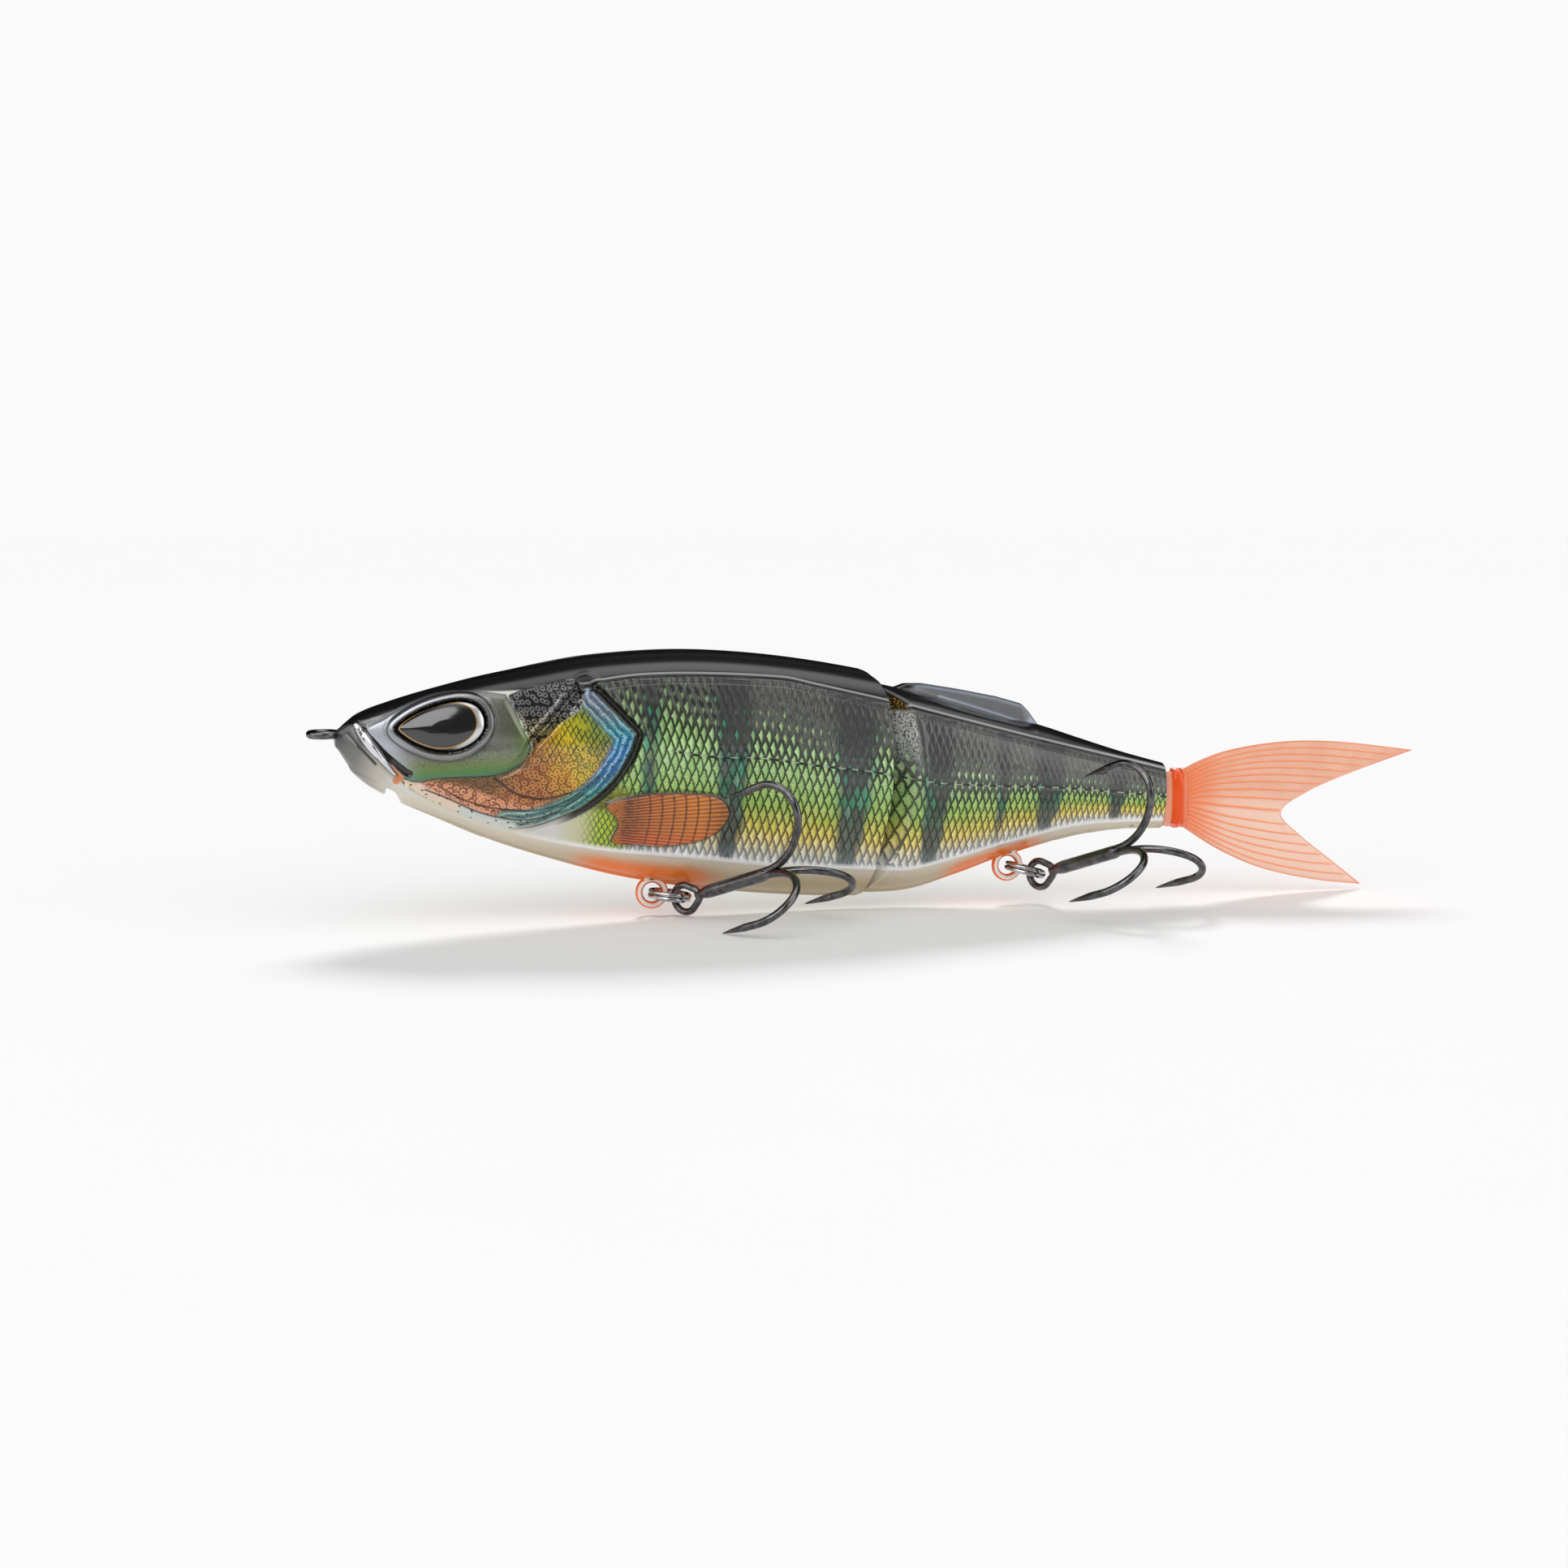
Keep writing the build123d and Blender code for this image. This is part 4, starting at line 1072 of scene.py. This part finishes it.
# ---------------------------------------------------------------- eyes
def eye_paint(name, gloss):
    """Black pupil, gold line and silver crescent, as they show through the glossy dome."""
    made, shader = material(name)
    where = place()
    grain, pupil = noise(where, 12.0, 2, .6), given("pupil")
    x = parts_of(where)[0]
    crescent = rise(.02, -.05, pupil) * rise(-.6, 1.6, x - EYE_CENTRE[0] + (grain - .5) * .2)
    colour = mixed((4, 4, 5), (206, 206, 206), crescent)
    colour.lay((176, 128, 52), band(pupil, .0, .05, .06))
    colour.lay((10, 9, 9), rise(.36, .28, given("eye_edge")))
    dress(shader, base_color=colour, metallic=held(crescent * .6), roughness=.16 + grain * .12,
          coat_weight=gloss, coat_roughness=.02, coat_ior=1.6)
    return made


def eyes():
    """A flat foil and a glossy dome in each pocket, both with the eye's print."""
    finishes = {"foil": eye_paint("eye_foil_paint", 0.0), "lens": eye_paint("eye_dome", 1.0)}
    rings = np.array([0, .25, .42, .56, .66, .72, .77, .81, .85, .88, .91, .94, .97, 1.0])
    outline = almond()
    centre = np.array([-1.2, 0.0])
    count = len(outline)
    for side, word in ((-1, "left"), (1, "right")):
        for what, tip, depth in (("foil", -1.2, -1.45), ("lens", .98, -1.0)):
            points, edge_distance = [[[*centre, tip]]], []
            for share in rings[1:]:
                height = -1.08 - .12 * (1 - share ** 2)
                if what == "lens":
                    height = 1.28 * np.clip(1 - share ** 2.4, 0, 1) ** .62 - .30
                points.append(np.column_stack([centre + (outline - centre) * share, np.full(count, height)]))
                edge_distance.append((1 - share) * np.linalg.norm(outline - centre, axis=1) * .9)
            skirt = np.column_stack([outline, np.full(count, depth)])
            local = np.vstack(points + [skirt, [[*centre, depth]]])
            d = np.concatenate([[3.5]] + edge_distance + [np.zeros(count), [0]])
            rows = len(rings)
            faces = [[0, 1 + j, 1 + (j + 1) % count] for j in range(count)]
            faces += grid_faces(rows, count, first=1, wrap=True)
            last = 1 + (rows - 1) * count
            faces += [[last + j, len(local) - 1, last + (j + 1) % count] for j in range(count)]
            world = placed(local, eye_frame())
            if side < 0:
                world = world * [1, -1, 1]
                faces = [face[::-1] for face in faces]
            pupil = inside_distance(local[:, 0], local[:, 1], outline * PUPIL_SHARE + PUPIL_SHIFT)
            piece = mesh_piece(f"eye_{what}_shape_{word}", world, faces, "front_section",
                               finishes[what], {"eye_edge": d, "pupil": pupil}, sharp=45)
            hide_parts(f"eye_{what}_{word}")


# ---------------------------------------------------------------- wire, rings and hooks
FRONT_HANGER = (50.1, -25.6)
REAR_HANGER = (108.4, -23.2)
HANGER_R = 2.03
HANGER_WIRE = .57
# degrees that each ring and hook lies turned from its hanger, in the photo
FRONT_LIE = dict(ring=34, hook=50, droop=8, rise=18, lean=5)
REAR_LIE = dict(ring=20, hook=59, droop=15, rise=18, lean=0)
# radii and lengths: SPLIT_ is the split ring and HOOK_ the treble
SPLIT_R = 3.05
SPLIT_WIRE = .35
SPLIT_PITCH = .70
HOOK_EYE_R = 2.1
HOOK_EYE_WIRE = .55
HOOK_WIRE = .6
HOOK_SHANK_R = 1.05
HOOK_SHANK = (2.3, 17.3)         # from and to, along x
HOOK_ARM_START = (16.4, .45)     # x and distance from the shank's middle
HOOK_BEND = ((9.2, 68), (4.9, 114))     # radius and turn of its two arcs
HOOK_POINT_RUN = 2.3
HOOK_POINT_LENGTH = 4.4
HOOK_TIP_R = .06


def ring_frame(at, lie):
    """Where the split ring's centre is, with its x axis away from the hanger."""
    return (Matrix.Translation((at[0], 0, at[1])) @ turned(lie["droop"], "Y") @ turned(-lie["ring"], "Z")
            @ Matrix.Translation((SPLIT_R, 0, 0)))


def hook_frame(at, lie):
    """Where the treble's eye is, with its shank along x."""
    eye = ring_frame(at, lie) @ turned(lie["ring"] - lie["hook"], "Z") @ Matrix.Translation((SPLIT_R, 0, 0))
    return (Matrix.Translation(eye.translation) @ turned(-lie["hook"], "Z") @ turned(-lie["rise"], "Y")
            @ turned(lie["lean"], "X"))


def split_ring():
    """Two turns of round wire whose ends lie against them."""
    count = 150
    turn = np.linspace(math.radians(18), 4 * math.pi - math.radians(6), count)
    lift = step(math.radians(330), math.radians(400), turn) * 2 - 1
    path = np.stack([SPLIT_R * np.cos(turn), SPLIT_R * np.sin(turn), lift * SPLIT_PITCH / 2], 1)
    end = np.minimum(np.arange(count), np.arange(count)[::-1])
    return sweep(path, SPLIT_WIRE * (.72 + .28 * np.clip(end / 6, 0, 1)), 14)


def arm_path():
    """Centre line of one arm in the XZ plane, and how far along it the point begins."""
    x, z = HOOK_ARM_START
    heading, line = 0.0, [np.array([[x - 2.6, z * .55], [x - 1.2, z * .85]])]
    for radius, turn in HOOK_BEND:
        side = math.radians(heading + 90)
        cx, cz = x + radius * math.cos(side), z + radius * math.sin(side)
        sweep_angles = np.radians(np.linspace(heading - 90, heading - 90 + turn, 26))
        arc = np.stack([cx + radius * np.cos(sweep_angles), cz + radius * np.sin(sweep_angles)], 1)
        line.append(arc[:-1])
        heading += turn
        x, z = arc[-1]
    way = np.array([math.cos(math.radians(heading)), math.sin(math.radians(heading))])
    start = np.array([x, z])
    line.append(start + way * np.linspace(0, HOOK_POINT_RUN, 6)[:-1, None])
    point = start + way * HOOK_POINT_RUN
    line.append(point + way * np.linspace(0, HOOK_POINT_LENGTH, 16)[:, None])
    flat = np.vstack(line)
    return np.stack([flat[:, 0], np.zeros(len(flat)), flat[:, 1]], 1), way, point


def treble():
    """Eye at the origin, shank along x, three barbed arms."""
    round_part = np.radians(np.linspace(52, 308, 44))
    loop = [(HOOK_EYE_R * math.cos(a), 0, HOOK_EYE_R * math.sin(a)) for a in round_part]
    loop += [(2.35, 0, -.95), (3.0, 0, -.35), (3.45, 0, 0), (3.0, 0, .35), (2.35, 0, .95)]
    loop = smooth_line(loop, 3, closed=True)
    parts = [sweep(loop, HOOK_EYE_WIRE, 14, closed=True)]
    xs = np.linspace(HOOK_SHANK[0] + .1, HOOK_SHANK[1], 40)
    thick = HOOK_SHANK_R * (.62 + .38 * step(2.4, 5.2, xs)) * (1 - .35 * step(15.6, 17.3, xs))
    parts.append(sweep(np.stack([xs, xs * 0, xs * 0], 1), thick, 20))
    path, way, point = arm_path()
    run = run_of(path)
    left = run[-1] - run
    radius = np.where(left < HOOK_POINT_LENGTH,
                      HOOK_TIP_R + (HOOK_WIRE - HOOK_TIP_R) * np.clip(left / HOOK_POINT_LENGTH, 0, 1) ** .8,
                      HOOK_WIRE)
    inward = np.array([way[1], -way[0]])
    inward *= np.sign(np.dot(inward, np.array(HOOK_ARM_START) + [-4, 4] - point))
    barb_root = point + way * 1.9 + inward * .22
    barb_tip = point - way * .35 + inward * .82
    flat = np.stack([barb_root + (barb_tip - barb_root) * t for t in np.linspace(0, 1, 8)])
    barb = np.stack([flat[:, 0], flat[:, 0] * 0, flat[:, 1]], 1)
    for turn in (0, 120, 240):
        m = np.array(turned(turn, "X"))[:3, :3]
        for line, size, sides in ((path, radius, 16), (barb, np.linspace(.26, .03, 8), 8)):
            points, faces = sweep(line, size, sides)
            parts.append((points @ m.T, faces))
    return joined(parts)


def metal(name, tone, rough, scratch=.06, tint=None):
    """A wire finish: a slightly uneven metal with fine drawing marks."""
    made, shader = material(name)
    where = place()
    cloud, fine = noise(where, .8, 3, .6), noise(where, 12.0, 3, .6)
    dark = tuple(v * .72 for v in tone)
    colour = mixed(dark, tone, rise(.35, .65, cloud))
    if tint:
        colour.lay(tint, rise(.5, .78, noise(where, .45, 2, .5)) * .55)
    dress(shader, base_color=colour, metallic=1, roughness=rough + (fine - .5) * scratch * 2)
    set_bump(shader, fine, .12, .02)
    return made


def hanger_paint():
    """White with orange at the edges, painted as the wire's reflections of the pale floor and of the orange
    belly.
    """
    made, shader = material("hanger_painted_reflection")
    where = place()
    # painted reflection of the orange belly at the wire's edges
    edge = rise(.40, .58, given("rim_side") + (noise(where, 3.0, 2, .5) - .5) * .1)
    dress(shader, base_color=mixed((236, 226, 216), (236, 98, 6), edge),
          roughness=.22 + noise(where, 5.0, 2, .5) * .1, coat_weight=1, coat_roughness=.05)
    return made


def hangers():
    """Figure eights with painted reflections, one ring below the belly and one moulded in."""
    painted_reflection = hanger_paint()
    turn = np.linspace(0, 2 * math.pi, 72, endpoint=False)
    for word, (x, z) in (("front", FRONT_HANGER), ("rear", REAR_HANGER)):
        upper = z + 2 * HANGER_R
        parts = []
        for centre in (z, upper):
            ring = np.stack([x + HANGER_R * np.cos(turn), turn * 0, centre + HANGER_R * np.sin(turn)], 1)
            parts.append(sweep(ring, HANGER_WIRE, 18, closed=True))
        points, faces = joined(parts)
        centre = np.where(points[:, 2] < z + HANGER_R, z, upper)
        away = np.abs(np.hypot(points[:, 0] - x, points[:, 2] - centre) - HANGER_R) / HANGER_WIRE
        piece = mesh_piece(f"{word}_hanger_ring", points, faces, f"{word}_section", painted_reflection,
                           {"rim_side": away}, sharp=60)
        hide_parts(f"{word}_hook_hanger")


def hooks():
    """Both split rings and both trebles, lying as in the photo."""
    nickel = metal("black_nickel", (112, 111, 114), .22, .05, tint=(100, 88, 82))
    steel = metal("split_ring_steel", (196, 197, 200), .13, .04, tint=(190, 150, 128))
    ring, hook = split_ring(), treble()
    for word, at, lie in (("front", FRONT_HANGER, FRONT_LIE), ("rear", REAR_HANGER, REAR_LIE)):
        piece = mesh_piece(f"{word}_split_ring_coil", placed(ring[0], ring_frame(at, lie)), ring[1],
                           f"{word}_ring", steel, sharp=60)
        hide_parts(f"{word}_split_ring")
        piece = mesh_piece(f"{word}_treble", placed(hook[0], hook_frame(at, lie)), hook[1],
                           f"{word}_treble", nickel, sharp=60)
        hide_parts(f"{word}_treble_hook")


# ---------------------------------------------------------------- tail
TAIL_UPPER = [(138.6, -8.5), (142.0, -6.9), (146.5, -5.5), (153.0, -4.5), (160.0, -4.15), (168.0, -4.6),
              (179.7, -6.1)]
TAIL_TRAILING = [(179.7, -6.1), (168.0, -9.8), (160.4, -12.8), (156.0, -16.0), (159.5, -19.8),
                 (164.6, -23.7), (170.7, -28.35)]
TAIL_LOWER = [(138.6, -17.8), (144.5, -21.5), (151.0, -24.5), (157.2, -26.3), (164.0, -27.6),
              (170.7, -28.35)]
TAIL_ROOT = [(138.6, -8.5), (138.8, -13.1), (138.6, -17.8)]
TAIL_RAYS = 15
# x, share of the collar's height, half width
COLLAR_STATIONS = [(134.82, .0, 2.0), (134.84, .82, 2.0), (135.9, .86, 2.02), (136.0, .74, 1.9),
                   (136.25, .72, 1.85), (136.4, .80, 1.95), (136.9, .90, 2.05), (137.5, .90, 2.05),
                   (137.9, .80, 1.95), (138.1, .88, 1.9), (138.6, .90, 1.75), (139.0, .82, 1.45),
                   (139.2, .5, .9), (139.21, .0, .9)]
COLLAR_Z = -13.05
COLLAR_HALF_HEIGHT = 5.45
COLLAR_SQUARE = .55              # below 1 the section is a rounded box


def evenly(line, count):
    """Points evenly along the smooth line through a few."""
    line = smooth_line(line, 16)
    run = run_of(line)
    at = np.linspace(0, 1, count) * run[-1]
    return np.stack([np.interp(at, run, line[:, k]) for k in range(2)], 1)


def tail_paint():
    """Soft translucent salmon plastic."""
    made, shader = material("tail_soft_plastic")
    where = place()
    x, _, z = parts_of(where)
    grain = noise(where, 9.0, 3, .7)
    cloud = noise(where, .25, 2, .5)
    ray, rim, collar, lens = given("ray_line"), given("tail_edge"), given("collar"), given("lens")
    colour = mixed((240, 202, 178), (244, 210, 190), rise(.35, .65, cloud))
    colour.lay((250, 234, 222), rise(-12.0, -15.5, z) * .8)
    colour.lay((240, 184, 154), rise(.45, .7, grain) * .3)
    colour.lay((255, 166, 106), ray)
    colour.lay((250, 150, 84), larger(rim * .8, rise(147.0, 138.5, x) * .7))
    colour.lay((250, 138, 70), collar)
    colour.lay((246, 188, 158), collar * rise(136.2, 135.7, x))
    colour.lay((248, 102, 10), lens)
    dress(shader, base_color=colour, roughness=.34 + grain * .14 - lens * .2, transmission_weight=.25,
          ior=1.42, coat_weight=.3, coat_roughness=.12)
    set_bump(shader, grain, .18, .05)
    glow = tree.nodes.new("ShaderNodeBsdfTranslucent")
    feed(glow.inputs["Color"], colour)
    mixed_output(.35, shader, glow)
    return made


def tail_blade():
    """Forked blade with rays that fan from its root."""
    across, out = ((300, 190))
    upper, lower = evenly(TAIL_UPPER, out), evenly(TAIL_LOWER, out)
    root, trailing = evenly(TAIL_ROOT, across), evenly(TAIL_TRAILING, across)
    s, t = np.linspace(0, 1, across)[None, :, None], np.linspace(0, 1, out)[:, None, None]
    corners = ((1 - s) * (1 - t) * root[0] + s * (1 - t) * root[-1]
               + (1 - s) * t * trailing[0] + s * t * trailing[-1])
    flat = (1 - s) * upper[:, None] + s * lower[:, None] + (1 - t) * root[None] + t * trailing[None] - corners
    sv, tv = s[..., 0], t[..., 0]
    thick = np.interp(flat[..., 0], [138.6, 141, 150, 180], [1.45, 1.05, .72, .34])
    edge = np.minimum(np.minimum(sv, 1 - sv) * 34 * (.3 + tv), (1 - tv) * 24)
    thick = thick * (.28 + .72 * np.sqrt(np.clip(edge / .9, 0, 1)))
    phase = (sv * (TAIL_RAYS + 1)) % 1
    ridge = bump(np.minimum(phase, 1 - phase) * (9.5 + 25 * tv) / (TAIL_RAYS + 1), .16)
    ridge = ridge * step(.995, .94, tv) * ((sv > .03) & (sv < .97))
    thick = thick + .17 * ridge
    rim = step(.55, .15, edge) * np.ones_like(tv)
    side = np.stack([flat[..., 0], -thick, flat[..., 1]], -1)
    other = side * [1, -1, 1]
    count = out * across
    faces = grid_faces(out, across) + grid_faces(out, across, first=count, flip=True)
    number = np.arange(count).reshape(out, across)
    border = [*number[0], *number[1:, -1], *number[-1, -2::-1], *number[-2:0:-1, 0]]
    border = [int(v) for v in border]
    for a, b in zip(border, border[1:] + border[:1]):
        faces.append([b, a, a + count, b + count])
    points = np.concatenate([side.reshape(-1, 3), other.reshape(-1, 3)])
    ray = np.tile(ridge.reshape(-1), 2)
    rims = np.tile(rim.reshape(-1), 2)
    return points, faces, {"ray_line": ray, "tail_edge": rims, "collar": ray * 0, "lens": ray * 0}


def tail_collar():
    """The plate, bead and rim between the rear section and the blade."""
    sides = 72
    turn = np.linspace(0, 2 * math.pi, sides, endpoint=False)
    c, s = np.cos(turn), np.sin(turn)
    points, lens = [], []
    for x, scale, half in COLLAR_STATIONS:
        y = half * np.sign(c) * np.abs(c) ** COLLAR_SQUARE * min(scale * 1.3, 1)
        z = COLLAR_HALF_HEIGHT * scale * np.sign(s) * np.abs(s) ** COLLAR_SQUARE
        points.append(np.stack([np.full(sides, x), y, COLLAR_Z + z], 1))
        lens.append(step(5.0, 4.0, np.abs(z)) * (136.3 < x < 138.0))
    faces = grid_faces(len(COLLAR_STATIONS), sides, wrap=True, flip=True)
    lens = np.concatenate(lens)
    return np.vstack(points), faces, {"ray_line": lens * 0, "tail_edge": lens * 0,
                                      "collar": lens * 0 + 1, "lens": lens}


def tail():
    """The soft tail as one skin that replaces the CAD's tail root and tail fin."""
    blade, collar = tail_blade(), tail_collar()
    points, faces = joined([blade[:2], collar[:2]])
    values = {k: np.concatenate([blade[2][k], collar[2][k]]) for k in blade[2]}
    piece = mesh_piece("soft_tail", points, faces, None, tail_paint(), values, sharp=60)
    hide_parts("tail_root", "tail_fin")
    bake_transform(piece)


def carried_over():
    """Better finishes for the CAD nodes that stay."""
    steel = metal("hinge_steel", (170, 171, 174), .22)
    tie = metal("line_tie_steel", (120, 120, 122), .20, .05, tint=(86, 84, 80))
    weight = metal("ballast_alloy", (96, 96, 100), .55, .1)
    finishes = {"line_tie": tie, "hinge_pin": steel, "upper_hinge_eye": steel, "lower_hinge_eye": steel,
                "tail_pin": steel, "front_ballast": weight, "rear_ballast": weight}
    for name, finish in finishes.items():
        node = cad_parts[name]
        node.data.materials.clear()
        node.data.materials.append(finish)


# ---------------------------------------------------------------- floor, light and camera
CAMERA_AT = (-29.4, -396.0, 30.9)
CAMERA_FACING = (.2454, .9645, -.0977)
CAMERA_LENS = 60
CAMERA_SENSOR = 36
FLOOR_Z = -29.1
FLOOR_REACH = 40000.0
FLOOR_GLOW = .025                # with the sun's light it makes the floor as pale as BACKGROUND


def stage():
    """A pale floor that can be seen through from below."""
    made, shader = material("pale_floor")
    colour = mixed((236, 236, 236), (238, 238, 238), noise(place(), .02, 2, .5))
    dress(shader, base_color=colour, roughness=.9, specular_ior_level=.1, emission_color=(255, 255, 255),
          emission_strength=FLOOR_GLOW)
    underside = node("NewGeometry", "Backfacing", {})
    mixed_output(underside, shader, tree.nodes.new("ShaderNodeBsdfTransparent"))
    mesh = bpy.data.meshes.new("floor")
    corners = [(-1, -1), (1, -1), (1, 1), (-1, 1)]
    mesh.from_pydata([(x * FLOOR_REACH * MM, y * FLOOR_REACH * MM, FLOOR_Z * MM) for x, y in corners],
                     [], [[0, 1, 2, 3]])
    mesh.materials.append(made)
    floor = bpy.data.objects.new("floor", mesh)
    bpy.context.scene.collection.objects.link(floor)


# what the gloss mirrors: direction, cosine where each softbox starts and is full, and its power
SOFTBOXES = [((.22, -.06, .97), .72, 1.0, 1.8), ((-.50, -.62, .60), .90, .94, 3.2),
             ((.78, -.55, .30), .90, .95, 2.0), ((-.93, -.1, .36), .88, .95, 1.5)]
ROOM_GLOSS = .10
SKY_LOW, SKY_HIGH = .28, 1.30        # diffuse light from behind and from the camera's side
BACKGROUND = .955
SUN_ENERGY = 1.9
SUN_FROM = (.16, .80, .62)
SUN_WIDTH = 14                       # degrees, which sets how soft the shadow's edge is


def lights():
    """Softboxes drawn in the world, a white surround for the camera, and one soft lamp behind."""
    global tree
    world = bpy.data.worlds.new("studio")
    bpy.context.scene.world = world
    world.use_nodes = True
    tree = world.node_tree
    way = node("TexCoord", "Generated", {})
    y = parts_of(way)[1]
    strength = ROOM_GLOSS * rise(.5, -.2, y)
    for direction, low, high, power in SOFTBOXES:
        towards = {0: way, 1: Vector(direction).normalized()}
        cosine = node("VectorMath", "Value", towards, operation="DOT_PRODUCT")
        strength = strength + rise(low, high, cosine) * power
    sky = SKY_LOW + (SKY_HIGH - SKY_LOW) * rise(.5, -.6, y)
    mirrored, seen = node("LightPath", "Is Glossy Ray", {}), node("LightPath", "Is Camera Ray", {})
    strength = strength * mirrored + (1.0 - mirrored) * sky
    strength = strength * (1.0 - seen) + seen * BACKGROUND
    dress(tree.nodes["Background"], color=(255, 255, 255), strength=strength)
    sun = bpy.data.lights.new("back_light", "SUN")
    sun.energy = SUN_ENERGY
    sun.angle = math.radians(SUN_WIDTH)
    lamp = bpy.data.objects.new("back_light", sun)
    lamp.rotation_euler = Vector(SUN_FROM).to_track_quat("Z", "Y").to_euler()
    lamp.visible_glossy = False
    bpy.context.scene.collection.objects.link(lamp)


def camera():
    """The photo's angle, with a normal lens."""
    data = bpy.data.cameras.new("camera")
    data.lens, data.sensor_width = CAMERA_LENS, CAMERA_SENSOR
    data.clip_start, data.clip_end = .01, 200
    eye = bpy.data.objects.new("camera", data)
    eye.location = Vector(CAMERA_AT) * MM
    eye.rotation_euler = Vector(CAMERA_FACING).to_track_quat("-Z", "Y").to_euler()
    bpy.context.scene.collection.objects.link(eye)
    bpy.context.scene.camera = eye


bpy.context.scene.view_settings.view_transform = "Standard"
finish_of_body = body_paint()
front_section(finish_of_body)
rear_section(finish_of_body)
dorsal_fin()
eyes()
hangers()
hooks()
tail()
carried_over()
stage()
lights()
camera()
